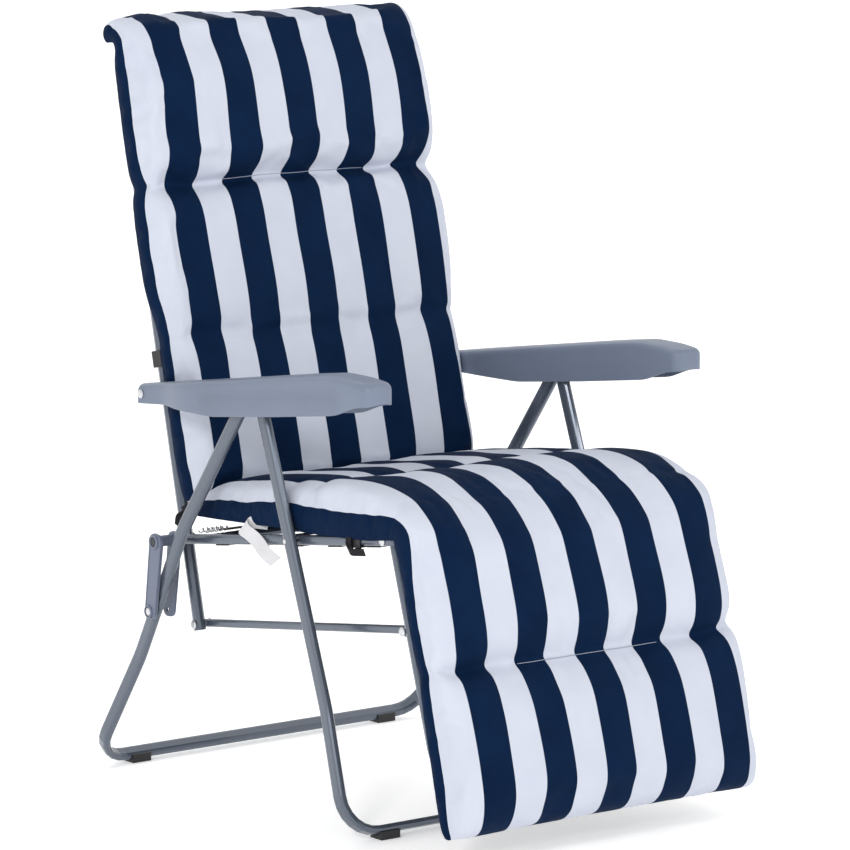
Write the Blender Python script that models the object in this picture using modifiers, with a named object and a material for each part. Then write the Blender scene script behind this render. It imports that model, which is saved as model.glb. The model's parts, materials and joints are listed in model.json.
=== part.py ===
"""Reclining sun lounger with a padded cushion.

Two flat-oval leg frames cross inside the armrests and fold up under the seat.
The backrest, the footrest and the bars between them recline together.
Units are metres. +Z is up, the front of the chair faces -Y and the sitter's left is +X.
Most places are worked out as (forward, up) pairs in the chair's side view.
"""

import math

import bmesh
import bpy
from mathutils import Matrix, Vector

# ---------------------------------------------------------------- driving dimensions

CENTRE_FORWARD = -0.02735     # side-view distance that lies at the middle of the chair's footprint
GAP = 0.0003                  # between pieces that touch

# joint axes in the side view, (forward, up)
BACK_PIVOT = (-0.280, 0.3585)
FRONT_LEG_PIVOT = (0.0175, 0.4005)
LEG_TOP = (-0.060, 0.598)
FOOTREST_PIVOT = (0.222, 0.4294)
SEAT_SLOPE = 0.1412           # rise of the seat rails for each metre forward

BACK_LEAN = math.radians(13.2)        # of the backrest tubes behind the vertical
FOOTREST_LEAN = math.radians(17.5)    # of the footrest tubes ahead of the vertical
LINK_LEVER = 0.126                    # from a pivot to the link bar that it drives
ARM_PIVOT_ALONG_BACK = 0.2142
BACK_TOP = 1.050                      # height of the backrest's top bend
FOOTREST_LENGTH = 0.335

# planes across the chair: distance of each piece's middle from the centre plane
LINK_X = 0.2205
BACK_X = 0.2345
RAIL_X = 0.2500
INNER_PLATE_X = 0.2585
FRONT_LEG_X = 0.2675
REAR_LEG_X = 0.2805
OUTER_PLATE_X = 0.2905
ARM_INNER_X = 0.2475
ARM_WIDTH = 0.050
ARM_BLOCK_WIDTH = 0.0325       # of the narrower block at the armrest's pivot

# tube sections
LEG_TUBE = (0.023, 0.012)     # flat oval: across the frame's plane, in the frame's plane
RAIL_TUBE = (0.015, 0.011)    # flat oval: height, width
LINK_TUBE = (0.012, 0.008)
BACK_TUBE_RADIUS = 0.009
FOOTREST_TUBE_RADIUS = 0.008
CROSSBAR_RADIUS = 0.007

# leg frames
FRONT_FLOOR = (0.172, 0.0120)
REAR_FLOOR = (-0.430, 0.0127)
REAR_KNEE = (-0.222, 0.385)   # slight bend of the rear leg
REAR_LINK_PIVOT = (-0.2952, 0.2539)
FRONT_SPLAY = (0.455, 0.080)  # distance down the leg where it starts to lean outwards, and its slope
REAR_SPLAY = (0.500, 0.100)
FRONT_FOOT_X = 0.214          # where the feet sit on the floor bars
REAR_FOOT_X = 0.2255

SEAT_FRONT = 0.262            # the seat frame's front bar
SEAT_REAR_BAR = -0.205
BACK_BAR_ALONG = 0.135        # the backrest's lower crossbar, above its pivot

BOLT_RADIUS = 0.0035
BOLT_HEAD_RADIUS = 0.0065
BOLT_HEAD_HEIGHT = 0.0022
BORE_RADIUS = 0.0038

SEAT_HALF_WIDTH = 0.2455      # of the pad between the armrests; it is a little wider at both ends
HEAD_HALF_WIDTH = 0.2540
FOOTREST_HALF_WIDTH = 0.2590
STRAP_THICKNESS = 0.0016
KNEE_CLEARANCE = 0.052        # the footrest pad swings round the seat's front bar at this radius

SIDES = (("left", 1), ("right", -1))
SHARP_ANGLE = math.radians(40)         # edges sharper than this stay crisp
OVAL_STEPS = 6                         # along each round end of a flat oval tube
BOSS_STEPS = 10
DISC_STEPS = 32
CYLINDER_SIDES = 24
STRAP_WIDTH = 0.030


# ---------------------------------------------------------------- scene and materials

def clear_objects():
    for item in list(bpy.data.objects):
        bpy.data.objects.remove(item, do_unlink=True)


def new_collection(name):
    collection = bpy.data.collections.new(name)
    bpy.context.scene.collection.children.link(collection)
    return collection


def new_material(name, colour, roughness, metallic=0.0):
    material = bpy.data.materials.new(name)
    material.use_nodes = True
    shader = material.node_tree.nodes["Principled BSDF"]
    shader.inputs["Base Color"].default_value = (*colour, 1.0)
    shader.inputs["Roughness"].default_value = roughness
    shader.inputs["Metallic"].default_value = metallic
    return material


clear_objects()
PARTS = new_collection("reclining_sun_lounger")
CUTTERS = new_collection("cutters_and_guides")

FRAME_PAINT = new_material("frame_paint", (0.18, 0.20, 0.25), 0.38, 0.45)
ARM_PLASTIC = new_material("armrest_plastic", (0.23, 0.27, 0.34), 0.48)
LINK_PLASTIC = new_material("link_plastic", (0.19, 0.22, 0.28), 0.50)
BLACK_PLASTIC = new_material("black_plastic", (0.02, 0.02, 0.022), 0.55)
BOLT_STEEL = new_material("bolt_steel", (0.62, 0.63, 0.65), 0.28, 0.95)
ELASTIC = new_material("elastic_strap", (0.03, 0.03, 0.035), 0.85)
CUSHION_CLOTH = new_material("cushion_cloth", (0.60, 0.62, 0.74), 0.90)
LABEL_CLOTH = new_material("label_cloth", (0.82, 0.82, 0.80), 0.80)


# ---------------------------------------------------------------- geometry helpers

def at(x, side_point):
    """World place of a side-view point (forward, up) at a distance x across the chair."""
    return Vector((x, CENTRE_FORWARD - side_point[0], side_point[1]))


def along(start, angle, distance):
    """Side-view point at a distance from another; the angle is measured from forward to up."""
    return (start[0] + distance * math.cos(angle), start[1] + distance * math.sin(angle))


def rail_height(forward):
    return BACK_PIVOT[1] + (forward - BACK_PIVOT[0]) * SEAT_SLOPE


def put_in(collection, item, material=None):
    collection.objects.link(item)
    if material is not None:
        item.data.materials.append(material)
    return item


def shade(mesh):
    mesh.shade_smooth()
    mesh.set_sharp_from_angle(angle=SHARP_ANGLE)


def rounded_path(points, radii, steps=6):
    """The polyline with an arc of the given radius at each inner corner."""
    path = [points[0].copy()]
    for before, corner, after, radius in zip(points, points[1:], points[2:], radii):
        back = (before - corner).normalized()
        ahead = (after - corner).normalized()
        half_turn = 0.5 * (math.pi - back.angle(ahead))
        reach = radius * math.tan(half_turn)
        middle = corner + (back + ahead).normalized() * (radius / math.cos(half_turn))
        start = corner + back * reach - middle
        axis = start.cross(corner + ahead * reach - middle).normalized()
        for index in range(steps + 1):
            turn = Matrix.Rotation(2 * half_turn * index / steps, 3, axis)
            path.append(middle + turn @ start)
    path.append(points[-1].copy())
    return path


def oval_section(name, height, width):
    """Guide curve: a flat oval, its height along the section's own Y."""
    curve = bpy.data.curves.new(name, "CURVE")
    curve.dimensions = "2D"
    curve.fill_mode = "NONE"
    radius = width / 2
    straight = height / 2 - radius
    spline = curve.splines.new("POLY")
    points = []
    for centre, first in ((straight, 0.0), (-straight, math.pi)):
        for index in range(OVAL_STEPS + 1):
            turn = first + math.pi * index / OVAL_STEPS
            points.append((radius * math.cos(turn), centre + radius * math.sin(turn)))
    spline.points.add(len(points) - 1)
    for point, (x, y) in zip(spline.points, points):
        point.co = (x, y, 0, 1)
    spline.use_cyclic_u = True
    guide = bpy.data.objects.new(name, curve)
    guide.hide_render = True
    guide.display_type = "WIRE"
    return put_in(CUTTERS, guide)


def tube(name, path, material, radius=None, section=None, matrix=None):
    """A filled tube along a path, round by its radius or with the section of a guide curve."""
    curve = bpy.data.curves.new(name, "CURVE")
    curve.dimensions = "3D"
    curve.fill_mode = "FULL"
    curve.twist_mode = "Z_UP"
    curve.use_fill_caps = True
    if section is None:
        curve.bevel_depth = radius
        curve.bevel_resolution = 3
    else:
        curve.bevel_mode = "OBJECT"
        curve.bevel_object = section
    spline = curve.splines.new("POLY")
    spline.points.add(len(path) - 1)
    for point, place in zip(spline.points, path):
        point.co = (*place, 1)
    item = bpy.data.objects.new(name, curve)
    if matrix is not None:
        item.matrix_world = matrix
    put_in(PARTS, item, material)
    return to_mesh(item)


def to_mesh(item):
    """Replace a curve object by a mesh object with welded caps."""
    bpy.context.view_layer.update()
    evaluated = item.evaluated_get(bpy.context.evaluated_depsgraph_get())
    mesh = bpy.data.meshes.new_from_object(evaluated)
    work = bmesh.new()
    work.from_mesh(mesh)
    bmesh.ops.remove_doubles(work, verts=work.verts, dist=0.00002)
    bmesh.ops.recalc_face_normals(work, faces=work.faces)
    work.to_mesh(mesh)
    work.free()
    solid = bpy.data.objects.new(item.name, mesh)
    solid.matrix_world = item.matrix_world.copy()
    collections = list(item.users_collection)
    name = item.name
    bpy.data.objects.remove(item, do_unlink=True)
    solid.name = name
    mesh.name = name
    for collection in collections:
        collection.objects.link(solid)
    shade(mesh)
    return solid


def plate(name, outline, x_low, x_high, material, bevel=0.0):
    """A side-view outline of (forward, up) points, made solid between two planes across the chair."""
    curve = bpy.data.curves.new(name, "CURVE")
    curve.dimensions = "2D"
    curve.fill_mode = "BOTH"
    curve.extrude = (x_high - x_low) / 2
    spline = curve.splines.new("POLY")
    spline.points.add(len(outline) - 1)
    for point, (forward, up) in zip(spline.points, outline):
        point.co = (CENTRE_FORWARD - forward, up, 0, 1)
    spline.use_cyclic_u = True
    item = bpy.data.objects.new(name, curve)
    upright = Matrix(((0, 0, 1, (x_low + x_high) / 2), (1, 0, 0, 0), (0, 1, 0, 0), (0, 0, 0, 1)))
    item.matrix_world = upright
    put_in(PARTS, item, material)
    solid = to_mesh(item)
    if bevel:
        add_bevel(solid, bevel, 2)
    return solid


def box(name, low, high, material, matrix=None):
    mesh = bpy.data.meshes.new(name)
    work = bmesh.new()
    bmesh.ops.create_cube(work, size=1.0)
    size = Vector(high) - Vector(low)
    bmesh.ops.scale(work, vec=size, verts=work.verts)
    bmesh.ops.translate(work, vec=(Vector(low) + Vector(high)) / 2, verts=work.verts)
    work.to_mesh(mesh)
    work.free()
    item = put_in(PARTS, bpy.data.objects.new(name, mesh), material)
    if matrix is not None:
        item.matrix_world = matrix
    shade(mesh)
    return item


def add_bevel(item, width, segments):
    bevel = item.modifiers.new("rounded edges", "BEVEL")
    bevel.width = width
    bevel.segments = segments
    bevel.limit_method = "ANGLE"
    bevel.angle_limit = math.radians(50)
    bevel.use_clamp_overlap = True


def boolean(item, other, operation):
    """Cut, join or intersect a solid with another one, which stays as a hidden guide."""
    if other.name in PARTS.objects:
        PARTS.objects.unlink(other)
        CUTTERS.objects.link(other)
    other.hide_render = True
    other.display_type = "WIRE"
    step = item.modifiers.new(operation.lower(), "BOOLEAN")
    step.operation = operation
    step.object = other
    step.solver = "EXACT"


def cylinder(name, x_low, x_high, side_point, radius):
    mesh = bpy.data.meshes.new(name)
    work = bmesh.new()
    bmesh.ops.create_cone(work, cap_ends=True, segments=CYLINDER_SIDES, radius1=radius, radius2=radius,
                          depth=x_high - x_low, matrix=Matrix.Rotation(math.pi / 2, 4, "Y"))
    work.to_mesh(mesh)
    work.free()
    item = put_in(CUTTERS, bpy.data.objects.new(name, mesh))
    item.location = at((x_low + x_high) / 2, side_point)
    return item


def bore(item, side_point, x_low, x_high, sides=(1, -1)):
    """A bolt hole across the chair through a piece, on one or both sides."""
    for side in sides:
        low, high = sorted((side * x_low, side * x_high))
        cutter = cylinder(item.name + "_bore", low, high, side_point, BORE_RADIUS)
        boolean(item, cutter, "DIFFERENCE")


def turned(name, profile, place, material):
    """A turned piece: (radius, height) from the top of its axis to the bottom, axis along X."""
    mesh = bpy.data.meshes.new(name)
    verts = [(radius, 0, height) for radius, height in profile]
    mesh.from_pydata(verts, [(index, index + 1) for index in range(len(verts) - 1)], [])
    item = put_in(PARTS, bpy.data.objects.new(name, mesh), material)
    item.location = place
    item.rotation_euler = (0, math.pi / 2, 0)
    screw = item.modifiers.new("turned", "SCREW")
    screw.axis = "Z"
    screw.steps = 20
    screw.render_steps = 20
    screw.use_merge_vertices = True
    screw.merge_threshold = 0.0001
    screw.use_smooth_shade = True
    return item


def bolt(name, side, side_point, x_inner, x_outer, inner_head=True, outer_head=True):
    """A shank between two heads that sit just clear of the faces at x_inner and x_outer."""
    inner = x_inner - GAP
    outer = x_outer + GAP
    dome = BOLT_HEAD_HEIGHT * 0.45
    profile = []
    if outer_head:
        top = outer + BOLT_HEAD_HEIGHT
        profile += [(0, top), (BOLT_HEAD_RADIUS * 0.6, top), (BOLT_HEAD_RADIUS, top - dome),
                    (BOLT_HEAD_RADIUS, outer), (BOLT_RADIUS, outer)]
    else:
        profile += [(0, outer), (BOLT_RADIUS, outer)]
    if inner_head:
        foot = inner - BOLT_HEAD_HEIGHT
        profile += [(BOLT_RADIUS, inner), (BOLT_HEAD_RADIUS, inner), (BOLT_HEAD_RADIUS, foot + dome),
                    (BOLT_HEAD_RADIUS * 0.6, foot), (0, foot)]
    else:
        profile += [(BOLT_RADIUS, inner), (0, inner)]
    if side < 0:
        profile = [(radius, -height) for radius, height in reversed(profile)]
    return turned(name, profile, at(0, side_point), BOLT_STEEL)


# ---------------------------------------------------------------- derived places

BACK_ANGLE = math.pi / 2 + BACK_LEAN
FOOTREST_ANGLE = -math.pi / 2 + FOOTREST_LEAN
LEVER_ANGLE = BACK_ANGLE - math.pi
LINK_REAR = along(BACK_PIVOT, LEVER_ANGLE, LINK_LEVER)
LINK_FRONT = along(FOOTREST_PIVOT, LEVER_ANGLE, LINK_LEVER)
ARM_PIVOT = along(BACK_PIVOT, BACK_ANGLE, ARM_PIVOT_ALONG_BACK)
RAIL_ANGLE = math.atan(SEAT_SLOPE)

leg_section = oval_section("leg_section", *LEG_TUBE)
rail_section = oval_section("rail_section", *RAIL_TUBE)
link_section = oval_section("link_section", *LINK_TUBE)


# ---------------------------------------------------------------- leg frames

def leg_matrix(floor_point, upper_point):
    """Local frame of a leg frame: X across, Y up along the leg, Z square to the frame's plane."""
    up = (at(0, upper_point) - at(0, floor_point)).normalized()
    across = Vector((1, 0, 0))
    turned_frame = Matrix((across, up, across.cross(up))).transposed().to_4x4()
    return Matrix.Translation(at(0, floor_point)) @ turned_frame


def leg_frame(name, floor_point, knee_point, half_width, splay, corner_radius):
    """One tube bent into a U: two legs that lean outwards near the floor, and a floor bar."""
    matrix = leg_matrix(floor_point, knee_point)
    to_local = matrix.inverted()
    end_angle = math.atan2(LEG_TOP[1] - knee_point[1], LEG_TOP[0] - knee_point[0])
    top = to_local @ at(0, along(LEG_TOP, end_angle, LEG_TUBE[0] / 2 - 0.0015))
    knee = to_local @ at(0, knee_point)
    length = (at(0, LEG_TOP) - at(0, floor_point)).length
    splay_height = length - splay[0]
    foot_half_width = half_width + splay[1] * splay_height
    corners = [Vector((half_width, top.y, top.z))]
    radii = []
    if knee_point != LEG_TOP:
        corners.append(Vector((half_width, knee.y, knee.z)))
        radii.append(0.18)
    corners += [Vector((half_width, splay_height, 0)), Vector((foot_half_width, 0, 0))]
    radii += [0.30, corner_radius]
    mirrored = [Vector((-point.x, point.y, point.z)) for point in reversed(corners)]
    path = rounded_path(corners + mirrored, radii + list(reversed(radii)))
    frame = tube(name, path, FRAME_PAINT, section=leg_section, matrix=matrix)
    bore(frame, LEG_TOP, half_width - 0.010, half_width + 0.010)
    return frame


def feet(name, floor_point, upper_point, foot_x):
    """Saddle feet pressed onto a floor bar."""
    matrix = leg_matrix(floor_point, upper_point)
    bar = tube(name + "_bar_seat", [Vector((-0.30, 0, 0)), Vector((0.30, 0, 0))], None,
               section=oval_section(name + "_bar_section", LEG_TUBE[0] + 2 * GAP, LEG_TUBE[1] + 2 * GAP),
               matrix=matrix)
    for side_name, side in SIDES:
        middle = at(side * foot_x, floor_point)
        low = (middle.x - 0.016, middle.y - 0.0135, 0.0)
        high = (middle.x + 0.016, middle.y + 0.0135, floor_point[1])
        foot = box(name + "_" + side_name, low, high, BLACK_PLASTIC)
        boolean(foot, bar, "DIFFERENCE")


front_leg_frame = leg_frame("front_leg_frame", FRONT_FLOOR, LEG_TOP, FRONT_LEG_X, FRONT_SPLAY, 0.050)
bore(front_leg_frame, FRONT_LEG_PIVOT, FRONT_LEG_X - 0.010, FRONT_LEG_X + 0.010)
leg_frame("rear_leg_frame", REAR_FLOOR, REAR_KNEE, REAR_LEG_X, REAR_SPLAY, 0.045)
feet("front_foot", FRONT_FLOOR, LEG_TOP, FRONT_FOOT_X)
feet("rear_foot", REAR_FLOOR, REAR_KNEE, REAR_FOOT_X)


# ---------------------------------------------------------------- plastic hinge links

def link_outline(upper, lower, boss, waist):
    """A bone shape in the side view: two round bosses joined by a narrower bar."""
    direction = math.atan2(lower[1] - upper[1], lower[0] - upper[0])
    spread = math.pi - math.asin(waist / boss)
    points = []
    for centre, facing in ((upper, direction + math.pi), (lower, direction)):
        for index in range(BOSS_STEPS + 1):
            turn = facing - spread + 2 * spread * index / BOSS_STEPS
            points.append(along(centre, turn, boss))
    return points


def disc(centre, radius):
    """Points round a circle in the side view."""
    return [along(centre, 2 * math.pi * index / DISC_STEPS, radius) for index in range(DISC_STEPS)]


def hull(points):
    """The convex outline round points in the side view."""
    points = sorted(set(points))

    def half(ordered):
        chain = []
        for p in ordered:
            while len(chain) > 1:
                a, b = chain[-2], chain[-1]
                if (b[0] - a[0]) * (p[1] - a[1]) - (b[1] - a[1]) * (p[0] - a[0]) > 1e-12:
                    break
                chain.pop()
            chain.append(p)
        return chain[:-1]

    return half(points) + half(reversed(points))


def hinge_link(side_name, side):
    """Two plates either side of the rear leg, joined by the sleeve of the upper pivot."""
    upper, lower = BACK_PIVOT, REAR_LINK_PIVOT
    outline = hull(disc(upper, 0.0122) + disc((upper[0] + 0.0070, upper[1]), 0.0112)
                   + disc(lower, 0.0102) + disc((lower[0] + 0.0065, lower[1]), 0.0100))
    outer = sorted((side * (OUTER_PLATE_X - 0.002), side * (OUTER_PLATE_X + 0.002)))
    inner = sorted((side * (INNER_PLATE_X - 0.002), side * (INNER_PLATE_X + 0.002)))
    link = plate("hinge_link_" + side_name, outline, *outer, LINK_PLASTIC)
    twin = plate("hinge_link_inner_plate_" + side_name, outline, *inner, None)
    low, high = sorted((side * (INNER_PLATE_X - 0.001), side * (OUTER_PLATE_X + 0.001)))
    sleeve = cylinder("hinge_link_sleeve_" + side_name, low, high, BACK_PIVOT, 0.0080)
    boolean(link, twin, "UNION")
    boolean(link, sleeve, "UNION")
    bore(link, BACK_PIVOT, INNER_PLATE_X - 0.006, OUTER_PLATE_X + 0.006, (side,))
    bore(link, REAR_LINK_PIVOT, INNER_PLATE_X - 0.006, OUTER_PLATE_X + 0.006, (side,))


# ---------------------------------------------------------------- seat, backrest and footrest frames

def plane_matrix(origin, angle):
    """Local frame in a tube frame's plane: X across, Y along the side-view angle, Z square to both."""
    return leg_matrix(origin, along(origin, angle, 1.0))


def seat_frame():
    """One flat-oval tube: a rail down each side and the front bar."""
    matrix = plane_matrix(BACK_PIVOT, RAIL_ANGLE)
    length = (SEAT_FRONT - BACK_PIVOT[0]) / math.cos(RAIL_ANGLE)
    right_half = [Vector((RAIL_X, -0.011, 0)), Vector((RAIL_X, length, 0))]
    left_half = [Vector((-RAIL_X, length, 0)), Vector((-RAIL_X, -0.011, 0))]
    path = rounded_path(right_half + left_half, [0.030, 0.030])
    frame = tube("seat_frame", path, FRAME_PAINT, section=rail_section, matrix=matrix)
    for pivot in (BACK_PIVOT, FRONT_LEG_PIVOT, FOOTREST_PIVOT):
        bore(frame, pivot, RAIL_X - 0.009, RAIL_X + 0.009)
    reach = RAIL_X - RAIL_TUBE[1] / 2 - GAP
    place = (SEAT_REAR_BAR, rail_height(SEAT_REAR_BAR))
    tube("seat_rear_bar", [at(-reach, place), at(reach, place)], FRAME_PAINT, radius=CROSSBAR_RADIUS)


def backrest_frame():
    """One round tube bent into an arch, running on below the pivot as a lever on each side."""
    matrix = plane_matrix(BACK_PIVOT, BACK_ANGLE)
    length = (BACK_TOP - BACK_PIVOT[1]) / math.cos(BACK_LEAN)
    end = -LINK_LEVER - BACK_TUBE_RADIUS
    right_half = [Vector((BACK_X, end, 0)), Vector((BACK_X, length, 0))]
    left_half = [Vector((-BACK_X, length, 0)), Vector((-BACK_X, end, 0))]
    path = rounded_path(right_half + left_half, [0.060, 0.060], 8)
    frame = tube("backrest_frame", path, FRAME_PAINT, radius=BACK_TUBE_RADIUS, matrix=matrix)
    for pivot in (BACK_PIVOT, LINK_REAR, ARM_PIVOT):
        bore(frame, pivot, BACK_X - 0.012, BACK_X + 0.012)
    reach = BACK_X - BACK_TUBE_RADIUS - GAP
    place = along(BACK_PIVOT, BACK_ANGLE, BACK_BAR_ALONG)
    tube("backrest_lower_bar", [at(-reach, place), at(reach, place)], FRAME_PAINT,
         radius=CROSSBAR_RADIUS)


def footrest_frame():
    """One round tube bent into a U that hangs from the front of the seat rails."""
    matrix = plane_matrix(FOOTREST_PIVOT, FOOTREST_ANGLE)
    right_half = [Vector((BACK_X, -0.009, 0)), Vector((BACK_X, FOOTREST_LENGTH, 0))]
    left_half = [Vector((-BACK_X, FOOTREST_LENGTH, 0)), Vector((-BACK_X, -0.009, 0))]
    path = rounded_path(right_half + left_half, [0.045, 0.045])
    frame = tube("footrest_frame", path, FRAME_PAINT, radius=FOOTREST_TUBE_RADIUS, matrix=matrix)
    bore(frame, FOOTREST_PIVOT, BACK_X - 0.012, BACK_X + 0.012)
    lever = footrest_lever()
    boolean(frame, lever, "UNION")
    bore(frame, LINK_FRONT, BACK_X - 0.012, BACK_X + 0.012)


def footrest_lever():
    """Lugs welded behind the footrest tubes, where the link bars take hold."""
    on_tube = along(FOOTREST_PIVOT, FOOTREST_ANGLE, LINK_LEVER)
    lug = None
    for side_name, side in SIDES:
        low, high = sorted((side * (BACK_X - 0.003), side * (BACK_X + 0.003)))
        outline = link_outline(along(on_tube, FOOTREST_ANGLE, 0.004), LINK_FRONT, 0.0075, 0.0070)
        piece = plate("footrest_lug_" + side_name, outline, low, high, None)
        if lug is None:
            lug = piece
        else:
            boolean(lug, piece, "UNION")
    return lug


def footrest_links():
    """Flat bars that make the footrest follow the backrest."""
    for side_name, side in SIDES:
        start = along(LINK_REAR, RAIL_ANGLE, -0.008)
        end = along(LINK_FRONT, RAIL_ANGLE, 0.008)
        length = math.dist(start, end)
        matrix = plane_matrix(start, RAIL_ANGLE)
        path = [Vector((side * LINK_X, 0, 0)), Vector((side * LINK_X, length, 0))]
        bar = tube("footrest_link_" + side_name, path, FRAME_PAINT, section=link_section, matrix=matrix)
        bore(bar, LINK_REAR, LINK_X - 0.008, LINK_X + 0.008, (side,))
        bore(bar, LINK_FRONT, LINK_X - 0.008, LINK_X + 0.008, (side,))


# ---------------------------------------------------------------- armrests

ARM_LENGTH_REAR = -0.340
ARM_WALL = 0.003
ARM_BODY_REAR = -0.200        # where the deep hollow body starts, ahead of the pivot block


def armrest_outline():
    top = [(0.2440, 0.6480), (0.2330, 0.6515), (0.1550, 0.6535), (0.080, 0.6440), (-0.100, 0.6165),
           (ARM_LENGTH_REAR, 0.5800)]
    bottom = [(ARM_LENGTH_REAR, 0.5520), (-0.262, 0.5590), (ARM_BODY_REAR, 0.5595), (-0.125, 0.5610),
              (0.020, 0.5790), (0.1700, 0.5995), (0.2120, 0.6150), (0.2460, 0.6200)]
    return top + bottom


def armrest_plan(name, side):
    """Plan outline of the armrest as an upright solid: a narrower block at the pivot, a rounded front."""
    margin = 0.001
    inner, outer = ARM_INNER_X - margin, ARM_INNER_X + ARM_WIDTH + margin
    block = ARM_INNER_X + ARM_BLOCK_WIDTH
    rear = ARM_LENGTH_REAR - margin
    radius = 0.010
    front = 0.2445
    outline = [(inner, rear), (block, rear), (block, -0.274), (block + 0.004, -0.252),
               (outer - 0.004, -0.222), (outer, ARM_BODY_REAR)]
    for centre, first in ((outer - radius, 0.0), (inner + radius, math.pi / 2)):
        for index in range(7):
            turn = first + math.pi / 2 * index / 6
            outline.append((centre + radius * math.cos(turn), front - radius + radius * math.sin(turn)))
    curve = bpy.data.curves.new(name, "CURVE")
    curve.dimensions = "2D"
    curve.fill_mode = "BOTH"
    curve.extrude = 0.10
    spline = curve.splines.new("POLY")
    spline.points.add(len(outline) - 1)
    for point, (x, forward) in zip(spline.points, outline):
        point.co = (side * x, CENTRE_FORWARD - forward, 0, 1)
    spline.use_cyclic_u = True
    item = put_in(CUTTERS, bpy.data.objects.new(name, curve))
    item.location = (0, 0, 0.60)
    return to_mesh(item)


def armrest(side_name, side):
    """A moulded shell, open below, with a solid block at its pivot."""
    low, high = sorted((side * ARM_INNER_X, side * (ARM_INNER_X + ARM_WIDTH)))
    arm = plate("armrest_" + side_name, armrest_outline(), low, high, ARM_PLASTIC)
    boolean(arm, armrest_plan("armrest_plan_" + side_name, side), "INTERSECT")
    add_bevel(arm, 0.0068, 4)
    cavity = [(0.2260, 0.6470), (0.1550, 0.6500), (0.080, 0.6410), (-0.100, 0.6140), (-0.195, 0.5995),
              (-0.195, 0.5400), (0.020, 0.5400), (0.156, 0.5700), (0.2370, 0.6000), (0.2370, 0.6390)]
    hollow = plate("armrest_hollow_" + side_name, cavity, low + ARM_WALL, high - ARM_WALL, None)
    boolean(arm, hollow, "DIFFERENCE")
    bore(arm, ARM_PIVOT, ARM_INNER_X - 0.004, ARM_INNER_X + ARM_WIDTH, (side,))


def armrest_rack(side_name, side):
    """A comb of five notches inside the armrest, just above the path of the leg pin."""
    path_angle = math.atan2(LEG_TOP[1] - ARM_PIVOT[1], LEG_TOP[0] - ARM_PIVOT[0])
    pitch = 0.0335
    depth = 0.0045
    count = 5
    clear = 0.0118
    outline = []
    for index in range(count):
        for step in range(7):
            share = -0.42 + 0.84 * step / 6
            notch_depth = depth * math.cos(math.pi * share / 0.84) if abs(share) < 0.42 else 0.0
            on_path = along(LEG_TOP, path_angle, (index + share) * pitch)
            outline.append((on_path[0], on_path[1] + clear + notch_depth))
    outline.append((outline[-1][0] + 0.004, outline[-1][1]))
    outline.insert(0, (outline[0][0] - 0.004, outline[0][1]))
    roof = [(outline[-1][0], 0.6405), (outline[0][0], 0.6150)]
    low, high = sorted((side * (ARM_INNER_X + ARM_WALL + GAP), side * 0.2600))
    plate("armrest_rack_" + side_name, outline + roof, low, high, ARM_PLASTIC)


# ---------------------------------------------------------------- fasteners

def fasteners(side_name, side):
    outer_face = OUTER_PLATE_X + 0.002
    bolt("back_pivot_bolt_" + side_name, side, BACK_PIVOT, BACK_X - BACK_TUBE_RADIUS, outer_face)
    bolt("front_leg_bolt_" + side_name, side, FRONT_LEG_PIVOT, RAIL_X - RAIL_TUBE[1] / 2,
         FRONT_LEG_X + LEG_TUBE[1] / 2, outer_head=False)
    bolt("leg_top_pin_" + side_name, side, LEG_TOP, ARM_INNER_X + 0.0045, REAR_LEG_X + LEG_TUBE[1] / 2,
         inner_head=False)
    bolt("footrest_bolt_" + side_name, side, FOOTREST_PIVOT, BACK_X - FOOTREST_TUBE_RADIUS,
         RAIL_X + RAIL_TUBE[1] / 2)
    bolt("link_rear_bolt_" + side_name, side, LINK_REAR, LINK_X - LINK_TUBE[1] / 2,
         BACK_X + BACK_TUBE_RADIUS)
    bolt("link_front_bolt_" + side_name, side, LINK_FRONT, LINK_X - LINK_TUBE[1] / 2,
         BACK_X + FOOTREST_TUBE_RADIUS)
    bolt("armrest_bolt_" + side_name, side, ARM_PIVOT, BACK_X - BACK_TUBE_RADIUS,
         ARM_INNER_X + ARM_BLOCK_WIDTH)
    bolt("hinge_link_bolt_" + side_name, side, REAR_LINK_PIVOT, REAR_LEG_X + LEG_TUBE[1] / 2 + 2 * GAP,
         outer_face, inner_head=False)


# ---------------------------------------------------------------- elastic straps

def strap(name, origin, angle, distance, half_width, lift):
    """A flat elastic strap across a frame, laid on the front of its tubes."""
    matrix = plane_matrix(along(origin, angle, distance), angle)
    box(name, (-half_width, -STRAP_WIDTH / 2, lift), (half_width, STRAP_WIDTH / 2, lift + STRAP_THICKNESS),
        ELASTIC, matrix=matrix)


def straps():
    for index in range(5):
        distance = 0.108 + 0.092 * index
        strap("seat_strap_%d" % (index + 1), BACK_PIVOT, RAIL_ANGLE, distance, RAIL_X - 0.001,
              RAIL_TUBE[0] / 2 + GAP)
    for index in range(6):
        distance = 0.215 + 0.088 * index
        strap("back_strap_%d" % (index + 1), BACK_PIVOT, BACK_ANGLE, distance, BACK_X - 0.001,
              -BACK_TUBE_RADIUS - GAP - STRAP_THICKNESS)
    for index in range(3):
        distance = 0.075 + 0.090 * index
        strap("footrest_strap_%d" % (index + 1), FOOTREST_PIVOT, FOOTREST_ANGLE, distance,
              BACK_X - 0.001, FOOTREST_TUBE_RADIUS + GAP)


# ---------------------------------------------------------------- cushion

def back_line(height, offset):
    """Side-view point at a height, a distance in front of the backrest tubes' middle."""
    forward = BACK_PIVOT[0] - (height - BACK_PIVOT[1]) * math.tan(BACK_LEAN)
    return (forward + offset / math.cos(BACK_LEAN), height)


def footrest_line(distance, offset):
    place = along(FOOTREST_PIVOT, FOOTREST_ANGLE, distance)
    return along(place, FOOTREST_ANGLE + math.pi / 2, offset)


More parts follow.
